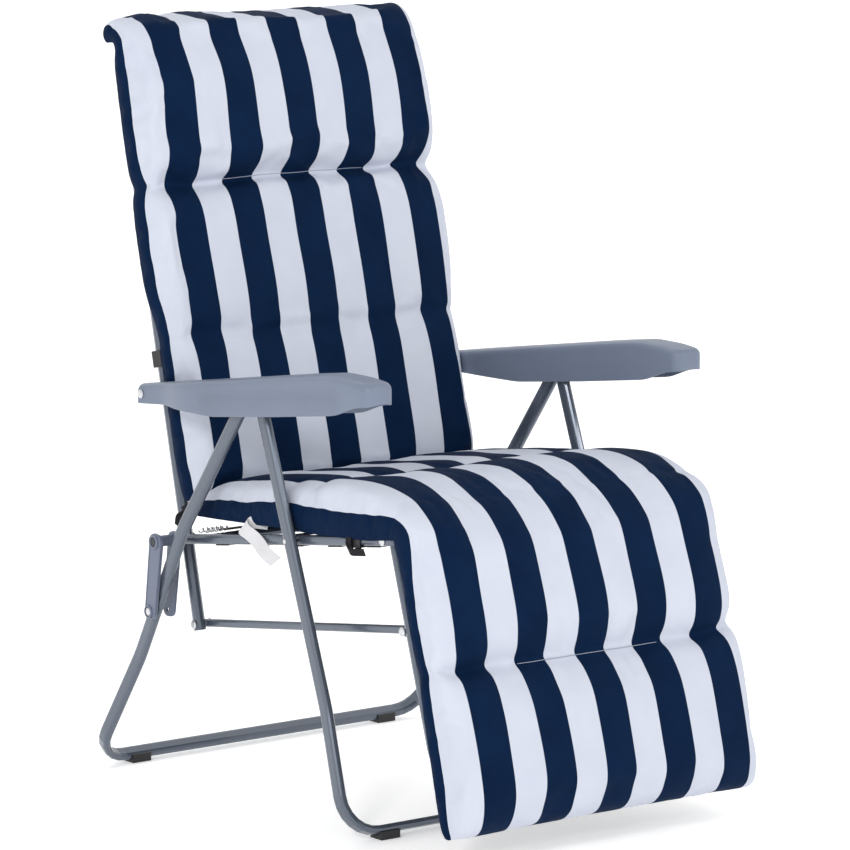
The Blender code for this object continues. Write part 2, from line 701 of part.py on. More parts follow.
def cushions():
    """Plain solids of the pad: head roll, back, seat, knee and footrest."""
    on_back = BACK_TUBE_RADIUS + 0.003
    back = [back_line(0.412, on_back), (-0.236, 0.4255), (-0.212, 0.4500), back_line(0.500, 0.090),
            back_line(0.800, 0.086), back_line(0.868, 0.078), back_line(0.868, on_back)]
    head = [back_line(0.870, on_back), back_line(0.870, 0.078), back_line(0.930, 0.084),
            back_line(1.040, 0.084), (-0.374, 1.092), (-0.410, 1.105), (-0.450, 1.101), (-0.462, 1.086),
            (-0.462, 1.066), back_line(1.066, on_back)]
    seat = [(-0.262, 0.3965), (-0.235, 0.3930), (-0.100, 0.4035), (0.216, 0.4395), (0.215, 0.4900),
            (0.130, 0.4950), (-0.010, 0.4810), (-0.204, 0.4445), (-0.236, 0.4215)]
    knee = [(0.2185, 0.4400), (0.2425, 0.4440), along(FOOTREST_PIVOT, math.radians(52), 0.056),
            along(FOOTREST_PIVOT, math.radians(51), 0.070), (0.2185, 0.4905)]
    inside_knee = [along(FOOTREST_PIVOT, math.radians(turn), KNEE_CLEARANCE)
                   for turn in range(48, -60, -12)]
    footrest = [footrest_line(0.360, 0.0115), footrest_line(0.400, 0.028), footrest_line(0.408, 0.052),
                footrest_line(0.353, 0.083), footrest_line(0.265, 0.094), footrest_line(0.170, 0.091),
                footrest_line(0.086, 0.079), footrest_line(0.010, 0.071),
                along(FOOTREST_PIVOT, math.radians(46), 0.071)]
    footrest = inside_knee + [footrest_line(0.0500, 0.0115)] + footrest
    for name, outline, half_width, rounding in (
            ("back_cushion", back, SEAT_HALF_WIDTH, 0.008), ("head_cushion", head, HEAD_HALF_WIDTH, 0.008),
            ("seat_cushion", seat, SEAT_HALF_WIDTH, 0.008), ("knee_cushion", knee, SEAT_HALF_WIDTH, 0.004),
            ("footrest_cushion", footrest, FOOTREST_HALF_WIDTH, 0.008)):
        plate(name, outline, -half_width, half_width, CUSHION_CLOTH, rounding)


def ties(side_name, side):
    """Black tapes that tie the cushion to the tubes."""
    for name, origin, angle, distance, x_middle, reach in (
            ("seat_tie_", BACK_PIVOT, RAIL_ANGLE, 0.445, RAIL_X, RAIL_TUBE[0] / 2),
            ("back_tie_", BACK_PIVOT, BACK_ANGLE, 0.262, BACK_X, BACK_TUBE_RADIUS)):
        matrix = plane_matrix(along(origin, angle, distance), angle)
        across = RAIL_TUBE[1] / 2 if name == "seat_tie_" else BACK_TUBE_RADIUS
        x_in, x_out = across + GAP, across + GAP + 0.0015
        tie = box(name + side_name, (side * x_middle - x_out, -0.012, -reach - 0.0018),
                  (side * x_middle + x_out, 0.012, reach + 0.0018), BLACK_PLASTIC, matrix=matrix)
        core = box(name + "core_" + side_name, (side * x_middle - x_in, -0.020, -reach - GAP),
                   (side * x_middle + x_in, 0.020, reach + GAP), None, matrix=matrix)
        boolean(tie, core, "DIFFERENCE")


def care_label():
    """A blank label sewn under the seat pad, hanging outside the right-hand rail."""
    outline = [(-0.080, 0.4040), (-0.046, 0.4075), (-0.040, 0.3820), (-0.008, 0.3500), (-0.032, 0.3470),
               (-0.068, 0.3800)]
    plate("care_label", outline, -0.2585, -0.2577, LABEL_CLOTH)


seat_frame()
backrest_frame()
footrest_frame()
footrest_links()
for side_label, side_sign in SIDES:
    hinge_link(side_label, side_sign)
    armrest(side_label, side_sign)
    armrest_rack(side_label, side_sign)
    fasteners(side_label, side_sign)
    ties(side_label, side_sign)
straps()
cushions()
care_label()
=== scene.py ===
"""Reclining sun lounger: striped pad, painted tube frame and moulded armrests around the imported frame."""

import json
import math

import bmesh
import bpy
import numpy as np
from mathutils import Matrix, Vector


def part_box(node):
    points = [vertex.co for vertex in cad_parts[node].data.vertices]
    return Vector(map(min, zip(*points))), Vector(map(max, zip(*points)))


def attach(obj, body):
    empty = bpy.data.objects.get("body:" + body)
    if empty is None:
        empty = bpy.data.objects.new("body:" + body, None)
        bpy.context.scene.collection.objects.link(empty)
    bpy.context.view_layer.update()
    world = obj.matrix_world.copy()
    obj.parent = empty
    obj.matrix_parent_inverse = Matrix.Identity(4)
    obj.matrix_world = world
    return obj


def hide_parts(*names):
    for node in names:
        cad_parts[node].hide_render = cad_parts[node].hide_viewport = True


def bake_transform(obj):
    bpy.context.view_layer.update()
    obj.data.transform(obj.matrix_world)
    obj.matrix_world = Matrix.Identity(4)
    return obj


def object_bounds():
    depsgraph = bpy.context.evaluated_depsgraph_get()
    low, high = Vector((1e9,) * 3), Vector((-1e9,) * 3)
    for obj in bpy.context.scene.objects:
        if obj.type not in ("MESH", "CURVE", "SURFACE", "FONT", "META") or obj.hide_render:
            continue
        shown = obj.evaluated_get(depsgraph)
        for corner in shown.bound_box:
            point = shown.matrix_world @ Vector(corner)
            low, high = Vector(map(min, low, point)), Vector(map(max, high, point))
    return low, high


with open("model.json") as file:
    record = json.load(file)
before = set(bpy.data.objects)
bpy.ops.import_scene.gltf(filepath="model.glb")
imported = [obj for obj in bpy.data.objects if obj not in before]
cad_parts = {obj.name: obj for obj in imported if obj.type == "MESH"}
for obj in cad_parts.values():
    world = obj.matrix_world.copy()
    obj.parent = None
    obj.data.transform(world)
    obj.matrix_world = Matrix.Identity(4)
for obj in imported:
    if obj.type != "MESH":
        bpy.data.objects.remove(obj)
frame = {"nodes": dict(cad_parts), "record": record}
CAD_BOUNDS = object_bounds()

# ---------------------------------------------------------------- places taken from the frame

JOINTS = {joint["name"]: joint for joint in frame["record"]["behaviour"]["joints"]}
BACK_PIVOT = Vector(JOINTS["recline"]["pos_m"])
FOOTREST_PIVOT = Vector(JOINTS["footrest_lift"]["pos_m"])
BACK_PIVOT_FORWARD = -0.280           # of the backrest's pivot in the side view
MIDDLE_Y = BACK_PIVOT.y + BACK_PIVOT_FORWARD    # the side view counts forward distances from here
SIDES = (("left", 1), ("right", -1))
BACK_LEAN = math.radians(13.2)        # of the backrest tubes behind the vertical
FOOTREST_LEAN = math.radians(17.5)

# ---------------------------------------------------------------- pad

STRIPE = 0.0520                       # width of one stripe, in the cloth
PATTERN_SHIFT = 0.0025                # how far the stripes sit off the pad's middle
STITCHED_HALF = 0.130                 # the sewn channels are stitched across the middle stripes only
GRID = 0.0065                         # spacing of the pad's mesh before it is subdivided
HALF_CLOTH = 0.272                    # half the width of cloth that the mesh's columns are counted for
LEAST_CROWN = 0.012                   # least height that a section's cloth is measured for
CROWN_SAMPLES = 300
RAISE_FROM, RAISE_OVER = 0.17, 0.08   # where the pad's raised side edges begin, and over what distance
DROP_FROM, DROP_OVER = 0.2445, 0.006  # the same for side edges that hang over the tubes
WANDER, WANDER_PITCH = 0.004, 0.06    # how far a channel strays beyond its stitches
OUTER_SAG = 0.007                     # how far a channel sinks under the outermost stripes
STEEP, GENTLE = 0.85, 1.25            # share of a channel's spread above and below its stitches
PUCKER = 0.0020                       # height of the fine folds that fan out from a sewn channel
PUCKER_REACH, PUCKER_START = 0.020, 0.004
PUCKER_ACROSS, PUCKER_ALONG = 0.012, 0.05
LUMP = 0.0026                         # height of the slow lumps of the filling
LUMP_ACROSS, LUMP_ALONG = 0.050, 0.075
RUFFLE_PITCH = 0.017
SEAM_REACH = 0.012                    # how far a side seam's ruffles reach into the face
WIDTH_WAVE, WIDTH_PITCH = 0.004, 0.09   # slow change of the pad's width, as a share of it
EDGE_WAVE = 0.0035                    # the same for the ruffles
CHANNEL_PINCH = 0.045                 # share of the width that a channel draws in at the sides
PINCH_REACH = 0.012
BACK_SLACK, SLACK_PITCH = 0.0010, 0.07   # height and size of the soft waves in the pad's back
GUSSET_BULGE = 0.0040
GUSSET_LAYERS = 4
FOLD_FROM, FOLD_OVER = 0.120, 0.100   # beyond this distance from the middle the end folds back less
FOLD_DROP = 0.06                      # how much the folded end sinks for each metre that it goes back
RIM_HOLD = 0.85                       # how firmly the seams hold their place while the cloth settles

MOST_MOVE = 0.008                     # cap on how far the settling cloth may move
PRESSURE = 3.0                        # of the filling on the cloth
GROWTH = 0.015                        # the cloth is cut this much larger than its filling
LAST_FRAME = 16


def new_mesh(name, verts, faces, smooth=True):
    """A mesh object in the scene."""
    mesh = bpy.data.meshes.new(name)
    mesh.from_pydata([tuple(v) for v in verts], [], faces)
    mesh.update()
    if smooth:
        mesh.shade_smooth()
    item = bpy.data.objects.new(name, mesh)
    bpy.context.scene.collection.objects.link(item)
    return item


def spline(knots, samples_each=24):
    """Catmull-Rom curve through rows of numbers."""
    p = np.array(knots, float)
    p = np.vstack([2 * p[0] - p[1], p, 2 * p[-1] - p[-2]])
    out = []
    for k in range(1, len(p) - 2):
        t = np.linspace(0, 1, samples_each, endpoint=False)[:, None]
        a, b, c, d = p[k - 1], p[k], p[k + 1], p[k + 2]
        out.append(0.5 * (2 * b + (c - a) * t + (2 * a - 5 * b + 4 * c - d) * t ** 2
                          + (3 * b - a - 3 * c + d) * t ** 3))
    out.append(p[-2][None, :])
    return np.vstack(out)


def resample(rows, lead, step):
    """Rows at even steps of arc length of the columns in lead; also the arc length of each row."""
    seg = np.linalg.norm(np.diff(rows[:, lead], axis=0), axis=1)
    s = np.concatenate([[0], np.cumsum(seg)])
    count = int(round(s[-1] / step))
    at = np.linspace(0, s[-1], count + 1)
    return np.stack([np.interp(at, s, rows[:, c]) for c in range(rows.shape[1])], axis=1), at


def crown_section(crown, half_width, power):
    """Cloth distance, x and height (0 to 1) across the crowned face, from the middle to the seam."""
    turn = np.linspace(0, math.pi / 2, CROWN_SAMPLES)
    x = half_width * np.sin(turn) ** (2 / power)
    h = np.cos(turn) ** (2 / power)
    s = np.concatenate([[0], np.cumsum(np.hypot(np.diff(x), np.diff(h) * crown))])
    return s, x, h


def smoothstep(t):
    t = np.clip(t, 0, 1)
    return t * t * (3 - 2 * t)


def hash_noise(x, y, seed):
    """Smooth value noise on a lattice, from -1 to 1."""
    rng = np.random.default_rng(seed)
    table = rng.uniform(-1, 1, (64, 64))
    xi, yi = np.floor(x).astype(int), np.floor(y).astype(int)
    fx, fy = smoothstep(x - xi), smoothstep(y - yi)
    a, b = table[xi % 64, yi % 64], table[(xi + 1) % 64, yi % 64]
    c, d = table[xi % 64, (yi + 1) % 64], table[(xi + 1) % 64, (yi + 1) % 64]
    return (a * (1 - fx) + b * fx) * (1 - fy) + (c * (1 - fx) + d * fx) * fy


def crowned_grid(s, total, gusset, half_width, power):
    """For each place on the face: distance across, the same measured in the cloth, and crown (0 to 1)."""
    columns = 2 * int(round(HALF_CLOTH / GRID)) + 1
    share = np.linspace(-1, 1, columns)
    X = np.empty((len(s), columns))
    U = np.empty_like(X)
    crown_shape = np.empty_like(X)
    for i in range(len(s)):
        crown = max(total[i] - gusset[i], LEAST_CROWN)
        cloth, x, h = crown_section(crown, half_width[i], power[i])
        reach = np.abs(share) * cloth[-1]
        X[i] = np.sign(share) * np.interp(reach, cloth, x)
        U[i] = share * cloth[-1]
        crown_shape[i] = np.interp(reach, cloth, h)
    return X, U, crown_shape


def end_rounding(S, length, round_start, round_end):
    """Share of the crown that is left near both ends."""
    ends = np.ones_like(S)
    for distance, radius in ((S, round_start), (length - S, round_end)):
        t = np.clip(1 - distance / radius, 0, 1)
        ends *= np.sqrt(np.clip(1 - t ** 2.4, 0, 1))
    return ends


def channel_relief(S, U, half_cloth, channels, seed):
    """Share of the crown that is left by the sewn channels, and the fine folds beside them."""
    valley = np.ones_like(S)
    pucker = np.zeros_like(S)
    side = smoothstep((np.abs(U) - STITCHED_HALF) / (half_cloth - STITCHED_HALF))
    for place, middle, edge, spread in channels:
        # the channel wanders and drops beyond its stitches, and the roll above it overhangs
        wander = WANDER * hash_noise(U / WANDER_PITCH, U * 0 + place * 40, seed + 3) * side
        wander = wander - OUTER_SAG * smoothstep((np.abs(U) - 4.4 * STRIPE) / (0.8 * STRIPE))
        away = np.abs(S - place - wander)
        depth = middle * (1 - side) + edge * side
        local = spread * (1 + 0.5 * side) * np.where(S > place + wander, STEEP, GENTLE)
        valley *= 1 - depth * np.exp(-(away / local) ** (1.0 + 0.3 * side))
        fan = np.exp(-away / PUCKER_REACH) * (1 - np.exp(-away / PUCKER_START))
        folds = hash_noise(U / PUCKER_ACROSS + 7 * (S > place), S / PUCKER_ALONG, seed + 1)
        pucker += fan * folds * (1 + side)
    return valley, pucker


def pad_skin(face, under):
    """Closed skin: vertices, faces, the cloth of each face (0 striped, 1 gusset, 2 back) and the rim."""
    n_rows, n_cols = face.shape[:2]
    offset = n_rows * n_cols
    verts = [tuple(v) for v in face.reshape(-1, 3)] + [tuple(v) for v in under.reshape(-1, 3)]
    faces, cloth = [], []
    for i in range(n_rows - 1):
        for j in range(n_cols - 1):
            a = i * n_cols + j
            faces.append((a, a + n_cols, a + n_cols + 1, a + 1))
            faces.append((offset + a, offset + a + 1, offset + a + n_cols + 1, offset + a + n_cols))
            cloth += [0, 2]
    ring = [(0, j) for j in range(n_cols)] + [(i, n_cols - 1) for i in range(1, n_rows)]
    ring += [(n_rows - 1, j) for j in range(n_cols - 2, -1, -1)]
    ring += [(i, 0) for i in range(n_rows - 2, 0, -1)]
    top_ring = [i * n_cols + j for i, j in ring]
    low_ring = [offset + k for k in top_ring]
    outwards = []
    for i, j in ring:
        out = Vector(((j == n_cols - 1) - (j == 0), 0, 0))
        if i in (0, n_rows - 1):
            step = Vector(face[i, j] - face[1 if i == 0 else n_rows - 2, j])
            step.x = 0
            out += step.normalized()
        outwards.append(out.normalized())
    previous = top_ring
    for layer in range(1, GUSSET_LAYERS + 1):
        part = layer / GUSSET_LAYERS
        if layer == GUSSET_LAYERS:
            current = low_ring
        else:
            current = list(range(len(verts), len(verts) + len(ring)))
            for out, top, low in zip(outwards, top_ring, low_ring):
                verts.append(tuple(Vector(verts[top]).lerp(Vector(verts[low]), part)
                                   + out * GUSSET_BULGE * 4 * part * (1 - part)))
        for k in range(len(ring)):
            n = (k + 1) % len(ring)
            faces.append((previous[k], previous[n], current[n], current[k]))
            cloth.append(1)
        previous = current
    return verts, faces, cloth, ring


def make_pad(name, knots, channels, seed, round_start, round_end, ruffles, roll_back=0.0):
    """A stuffed pad: crowned striped face, plain gusset all round and plain back.

    knots are rows (bottom forward, bottom up, face forward, face up, half width, squareness of the
    crown, gusset height, lift of the side edges) in the side view.
    channels are (distance along the face, depth in the middle, depth at the sides, spread).
    """
    rows, s = resample(spline(knots), [2, 3], GRID)
    length = s[-1]
    bottom, half_width, power, gusset, lift_side = (rows[:, :2], rows[:, 4], rows[:, 5], rows[:, 6],
                                                    rows[:, 7])
    outward = rows[:, 2:4] - bottom
    total = np.linalg.norm(outward, axis=1)
    X, U, crown_shape = crowned_grid(s, total, gusset, half_width, power)
    half_cloth = U[:, -1][:, None]
    S = np.repeat(s[:, None], U.shape[1], axis=1)
    ends = end_rounding(S, length, round_start, round_end)
    valley, pucker = channel_relief(S, U, half_cloth, channels, seed)

    crown_height = np.clip(total - gusset, 0.0015, None)[:, None]
    lift = lift_side[:, None] * np.where(lift_side[:, None] > 0,
                                         smoothstep((np.abs(X) - RAISE_FROM) / RAISE_OVER),
                                         smoothstep((np.abs(X) - DROP_FROM) / DROP_OVER))
    height = gusset[:, None] + crown_height * crown_shape * ends * valley
    height += np.maximum(lift, 0.25 * lift) * (1 - crown_shape)
    height += PUCKER * pucker * crown_shape * ends
    # slow lumps of the filling, and ruffles along the side seams
    height += LUMP * hash_noise(U / LUMP_ACROSS, S / LUMP_ALONG, seed + 5) * crown_shape * ends
    ruffle = hash_noise(S / RUFFLE_PITCH + 11 * (U > 0), U * 0 + 3, seed + 7)
    seam = np.exp(-(half_cloth - np.abs(U)) / SEAM_REACH)
    height += ruffles * ruffle * seam * ends
    pinch = np.ones_like(S)
    for place, _, edge, _ in channels:
        pinch -= CHANNEL_PINCH * edge * np.exp(-np.abs(S - place) / PINCH_REACH)
    direction = outward / total[:, None]
    face = np.empty((*S.shape, 3))
    under = np.empty_like(face)
    slow_width = WIDTH_WAVE * hash_noise(S / WIDTH_PITCH, U * 0 + 9, seed + 8)
    face[..., 0] = X * pinch * (1 + slow_width + EDGE_WAVE * ruffle * seam)
    under[..., 0] = X * pinch * (1 - 0.003 * np.abs(ruffle))
    slack = np.abs(BACK_SLACK * hash_noise(U / SLACK_PITCH, S / SLACK_PITCH, seed + 11)) + lift
    for grid, level in ((face, height), (under, slack)):
        grid[..., 1] = MIDDLE_Y - (bottom[:, 0][:, None] + direction[:, 0][:, None] * level)
        grid[..., 2] = bottom[:, 1][:, None] + direction[:, 1][:, None] * level
    # the far end folds further back in the middle than at its corners
    middle_share = 1 - smoothstep((np.abs(U) - FOLD_FROM) / FOLD_OVER)
    for grid, first, reach in ((face, 0.095, 0.070), (under, 0.022, 0.018)):
        fold = roll_back * middle_share * smoothstep((S - (length - first)) / reach)
        grid[..., 1] += fold
        grid[..., 2] -= FOLD_DROP * fold

    verts, faces, cloth, ring = pad_skin(face, under)
    pad = new_mesh(name, verts, faces)
    mesh = pad.data
    ring_across = [U[i, j] for i, j in ring] * (GUSSET_LAYERS - 1)
    ring_along = [S[i, j] + 0.006 * layer for layer in range(1, GUSSET_LAYERS) for i, j in ring]
    across = np.concatenate([U.reshape(-1), U.reshape(-1), ring_across])
    along_cloth = np.concatenate([S.reshape(-1), S.reshape(-1), ring_along])
    for label, values in (("cloth_across", across), ("cloth_along", along_cloth)):
        mesh.attributes.new(label, "FLOAT", "POINT").data.foreach_set("value", values.astype(np.float32))
    mesh.polygons.foreach_set("material_index", np.array(cloth, np.int32))
    stitched = np.zeros_like(S)
    for channel in channels:
        nearest = int(np.argmin(np.abs(s - channel[0])))
        stitched[nearest] = np.abs(U[nearest]) < STITCHED_HALF
    rim = np.zeros_like(S)
    rim[0] = rim[-1] = rim[:, 0] = rim[:, -1] = RIM_HOLD
    hold = np.zeros(len(verts))
    hold[:S.size] = np.maximum(stitched, rim).reshape(-1)
    hold[S.size:2 * S.size] = 1.0
    out = np.stack([0 * s, -direction[:, 0], direction[:, 1]], axis=1)
    return pad, dict(hold=hold, s=s, U=U, out=out, columns=U.shape[1])


def point_places(mesh):
    """The mesh's points as rows of single-precision numbers."""
    places = np.empty(len(mesh.vertices) * 3, np.float32)
    mesh.vertices.foreach_get("co", places)
    return places.reshape(-1, 3)


def simulate(pad, hold):
    """Let the cloth settle on its filling: it puffs between the stitches and wrinkles beside them."""
    mesh = pad.data
    rest = point_places(mesh).astype(float)
    group = pad.vertex_groups.new(name="held")
    for level in sorted(set(hold[hold > 0])):
        group.add([int(k) for k in np.nonzero(hold == level)[0]], float(level), "REPLACE")
    settle = pad.modifiers.new("settle", "CLOTH")
    cloth = settle.settings
    cloth.quality = 4
    cloth.mass = 0.20
    cloth.tension_stiffness = cloth.compression_stiffness = 25
    cloth.shear_stiffness = 12
    cloth.bending_stiffness = 0.25
    cloth.use_pressure = True
    cloth.uniform_pressure_force = PRESSURE
    cloth.vertex_group_mass = "held"
    cloth.shrink_min = -GROWTH
    cloth.effector_weights.gravity = 0
    settle.point_cache.frame_start = 1
    settle.point_cache.frame_end = LAST_FRAME
    for number in range(1, LAST_FRAME + 1):
        bpy.context.scene.frame_set(number)
    evaluated = pad.evaluated_get(bpy.context.evaluated_depsgraph_get())
    moved = point_places(evaluated.data).astype(float)
    pad.modifiers.remove(settle)
    bpy.context.scene.frame_set(1)
    step = moved - rest
    size = np.linalg.norm(step, axis=1)
    step *= (MOST_MOVE * np.tanh(size / MOST_MOVE) / np.maximum(size, 1e-9))[:, None]
    mesh.vertices.foreach_set("co", (rest + step).astype(np.float32).reshape(-1))
    mesh.update()


def finish_pad(pad):
    """Subdivide the settled pad once."""
    smooth = pad.modifiers.new("smooth", "SUBSURF")
    smooth.levels = smooth.render_levels = 1
    bpy.context.view_layer.update()
    evaluated = pad.evaluated_get(bpy.context.evaluated_depsgraph_get())
    mesh = bpy.data.meshes.new_from_object(evaluated)
    pad.modifiers.clear()
    pad.data = mesh
    mesh.shade_smooth()


def along_back(d, o):
    """Side-view (forward, up) of a place d up the backrest tubes and o in front of them."""
    base_f, base_z = MIDDLE_Y - BACK_PIVOT.y, BACK_PIVOT.z
    return (base_f - d * math.sin(BACK_LEAN) + o * math.cos(BACK_LEAN),
            base_z + d * math.cos(BACK_LEAN) + o * math.sin(BACK_LEAN))


def along_footrest(d, o):
    """Side-view (forward, up) of a place d down the footrest tubes and o in front of them."""
    base_f, base_z = MIDDLE_Y - FOOTREST_PIVOT.y, FOOTREST_PIVOT.z
    return (base_f + d * math.sin(FOOTREST_LEAN) + o * math.cos(FOOTREST_LEAN),
            base_z - d * math.cos(FOOTREST_LEAN) + o * math.sin(FOOTREST_LEAN))


# along the backrest: the pad's back (distance up, distance in front) and its face, then the columns that
# make_pad names; the seat's rows give (forward, up) places, and the footrest's go down its tubes
BACK_KNOTS = [along_back(*row[0:2]) + along_back(*row[2:4]) + row[4:] for row in (
    (0.056, 0.018, 0.052, 0.086, 0.2450, 8.0, 0.034, 0.000),
    (0.100, 0.012, 0.098, 0.094, 0.2455, 8.0, 0.034, 0.000),
    (0.160, 0.012, 0.160, 0.094, 0.2460, 7.0, 0.032, 0.000),
    (0.230, 0.012, 0.231, 0.094, 0.2460, 6.0, 0.030, 0.000),
    (0.300, 0.012, 0.301, 0.092, 0.2470, 6.0, 0.030, 0.000),
    (0.360, 0.012, 0.361, 0.091, 0.2540, 6.0, 0.030, -0.005),
    (0.440, 0.012, 0.440, 0.089, 0.2560, 6.0, 0.030, -0.006),
    (0.514, 0.012, 0.516, 0.090, 0.2550, 5.0, 0.030, -0.006),
    (0.560, 0.012, 0.566, 0.101, 0.2550, 4.6, 0.029, -0.006),
    (0.640, 0.012, 0.648, 0.104, 0.2550, 4.6, 0.028, -0.005),
    (0.688, 0.012, 0.704, 0.089, 0.2540, 4.6, 0.026, -0.004),
    (0.712, 0.0125, 0.742, 0.066, 0.2530, 5.0, 0.025, 0.000),
    (0.722, 0.009, 0.7585, 0.043, 0.2520, 5.0, 0.024, 0.000),
    (0.7250, 0.001, 0.7620, 0.016, 0.2510, 5.0, 0.024, 0.000),
    (0.7265, -0.012, 0.7560, -0.010, 0.2500, 5.0, 0.024, 0.000))]
SEAT_KNOTS = [
    (-0.240, 0.3965, -0.236, 0.4190, 0.2455, 8.0, 0.022, 0.000),
    (-0.200, 0.3995, -0.204, 0.4455, 0.2480, 8.0, 0.027, 0.000),
    (-0.100, 0.4060, -0.105, 0.4615, 0.2500, 8.0, 0.032, 0.000),
    (-0.010, 0.4155, -0.012, 0.4750, 0.2550, 8.0, 0.036, -0.003),
    (0.060, 0.4230, 0.056, 0.4865, 0.2585, 8.0, 0.033, -0.007),
    (0.120, 0.4298, 0.116, 0.4945, 0.2595, 8.0, 0.030, -0.009),
    (0.180, 0.4365, 0.180, 0.4990, 0.2595, 8.0, 0.028, -0.012),
    (0.222, 0.4430, 0.226, 0.4960, 0.2595, 8.0, 0.026, -0.013),
    (0.250, 0.4468, 0.268, 0.4840, 0.2600, 8.0, 0.024, -0.015),
    (0.2700, 0.4445, 0.3020, 0.4600, 0.2610, 8.0, 0.024, -0.020)]
SEAT_KNOTS += [along_footrest(*row[0:2]) + along_footrest(*row[2:4]) + row[4:] for row in (
    (0.018, 0.0516, 0.022, 0.0900, 0.2620, 8.0, 0.024, -0.018),
    (0.060, 0.0370, 0.072, 0.0920, 0.2620, 8.0, 0.024, 0.000),
    (0.105, 0.0220, 0.120, 0.0940, 0.2620, 8.0, 0.024, 0.012),
    (0.160, 0.0125, 0.170, 0.0950, 0.2620, 8.0, 0.024, 0.021),
    (0.215, 0.0125, 0.215, 0.0950, 0.2620, 8.0, 0.024, 0.018),
    (0.270, 0.0125, 0.268, 0.0950, 0.2620, 8.0, 0.024, 0.015),
    (0.330, 0.0125, 0.330, 0.0940, 0.2620, 7.0, 0.024, 0.012),
    (0.372, 0.0130, 0.376, 0.0900, 0.2615, 7.0, 0.022, 0.008),
    (0.398, 0.0160, 0.408, 0.0760, 0.2600, 7.0, 0.020, 0.003),
    (0.408, 0.0200, 0.424, 0.0560, 0.2580, 7.0, 0.020, 0.000))]


def face_distance(knots, column, value, after=0.0):
    """How far along the face its side-view coordinate passes a value."""
    rows, s = resample(spline(knots), [2, 3], 0.001)
    line = rows[:, column]
    for k in range(len(s) - 1):
        if s[k] > after and (line[k] - value) * (line[k + 1] - value) <= 0:
            return float(s[k])
    return float(s[-1])


BACK_CHANNELS = [(face_distance(BACK_KNOTS, 3, 0.661), 0.26, 0.18, 0.014),
                 (face_distance(BACK_KNOTS, 3, 0.876), 0.90, 0.76, 0.014)]
SEAT_CHANNELS = [(face_distance(SEAT_KNOTS, 2, 0.060), 0.34, 0.22, 0.016),
                 (face_distance(SEAT_KNOTS, 2, 0.262, 0.3), 0.34, 0.26, 0.014),
                 (face_distance(SEAT_KNOTS, 3, 0.272, 0.5), 0.52, 0.36, 0.011)]

back_pad, back_info = make_pad("back_pad", BACK_KNOTS, BACK_CHANNELS, 11, 0.035, 0.030, 0.0034, 0.030)
seat_pad, seat_info = make_pad("seat_pad", SEAT_KNOTS, SEAT_CHANNELS, 29, 0.045, 0.028, 0.0014)
simulate(back_pad, back_info["hold"])
simulate(seat_pad, seat_info["hold"])
for pad in (back_pad, seat_pad):
    finish_pad(pad)

# ---------------------------------------------------------------- materials


class Nodes:
    """Short hand for a Principled material's node tree."""

    def __init__(self, name):
        self.material = bpy.data.materials.new(name)
        self.material.use_nodes = True
        self.tree = self.material.node_tree
        self.shader = self.tree.nodes["Principled BSDF"]

    def add(self, kind, **settings):
        node = self.tree.nodes.new("ShaderNode" + kind)
        for key, value in settings.items():
            setattr(node, key, value)
        return node

    def link(self, source, target):
        self.tree.links.new(source, target)

    def math(self, operation, a, b=None):
        node = self.add("Math", operation=operation)
        for socket, value in zip(node.inputs, (a, b)):
            if value is None:
                continue
            if isinstance(value, (int, float)):
                socket.default_value = value
            else:
                self.link(value, socket)
        return node.outputs[0]

    def noise(self, scale, detail=3.0, roughness=0.55):
        node = self.add("TexNoise")
        node.inputs["Scale"].default_value = scale
        node.inputs["Detail"].default_value = detail
        node.inputs["Roughness"].default_value = roughness
        self.link(self.add("TexCoord").outputs["Object"], node.inputs["Vector"])
        return node.outputs["Fac"]

    def ramp(self, value, low, high, from_low=0.0, from_high=1.0):
        node = self.add("MapRange")
        node.inputs["From Min"].default_value = from_low
        node.inputs["From Max"].default_value = from_high
        node.inputs["To Min"].default_value = low
        node.inputs["To Max"].default_value = high
        self.link(value, node.inputs["Value"])
        return node.outputs["Result"]

    def mix(self, factor, a, b):
        node = self.add("Mix", data_type="RGBA")
        self.link(factor, node.inputs["Factor"])
        for socket, value in ((node.inputs["A"], a), (node.inputs["B"], b)):
            if isinstance(value, tuple):
                socket.default_value = (*value, 1.0)
            else:
                self.link(value, socket)
        return node.outputs["Result"]

    def bump(self, height, strength, distance):
        node = self.add("Bump")
        node.inputs["Strength"].default_value = strength
        node.inputs["Distance"].default_value = distance
        self.link(height, node.inputs["Height"])
        self.link(node.outputs["Normal"], self.shader.inputs["Normal"])

    def set(self, **values):
        for key, value in values.items():
            self.shader.inputs[key.replace("_", " ")].default_value = value


YARN_PITCH = 0.0011                   # of the cloth's weave
RIB_PITCH, ROW_PITCH = 0.0022, 0.0016   # of the elastic webbing
PRINT_EDGE = 0.004                    # softness of a stripe's printed edge, as a share of two stripes
NAVY = (0.0016, 0.0105, 0.0370)
NAVY_LIGHT = (0.0026, 0.0145, 0.0480)
WHITE = (0.560, 0.590, 0.672)
WHITE_SHADE = (0.530, 0.560, 0.650)
WEBBING_BLACK = (0.008, 0.008, 0.010)


def weave(n):
    """The distance across the cloth, and the height of its plain weave."""
    across = n.add("Attribute", attribute_name="cloth_across").outputs["Fac"]
    along = n.add("Attribute", attribute_name="cloth_along").outputs["Fac"]
    warp = n.math("SINE", n.math("MULTIPLY", across, 2 * math.pi / YARN_PITCH))
    weft = n.math("SINE", n.math("MULTIPLY", along, 2 * math.pi / YARN_PITCH))
    return across, n.math("MULTIPLY", warp, weft)


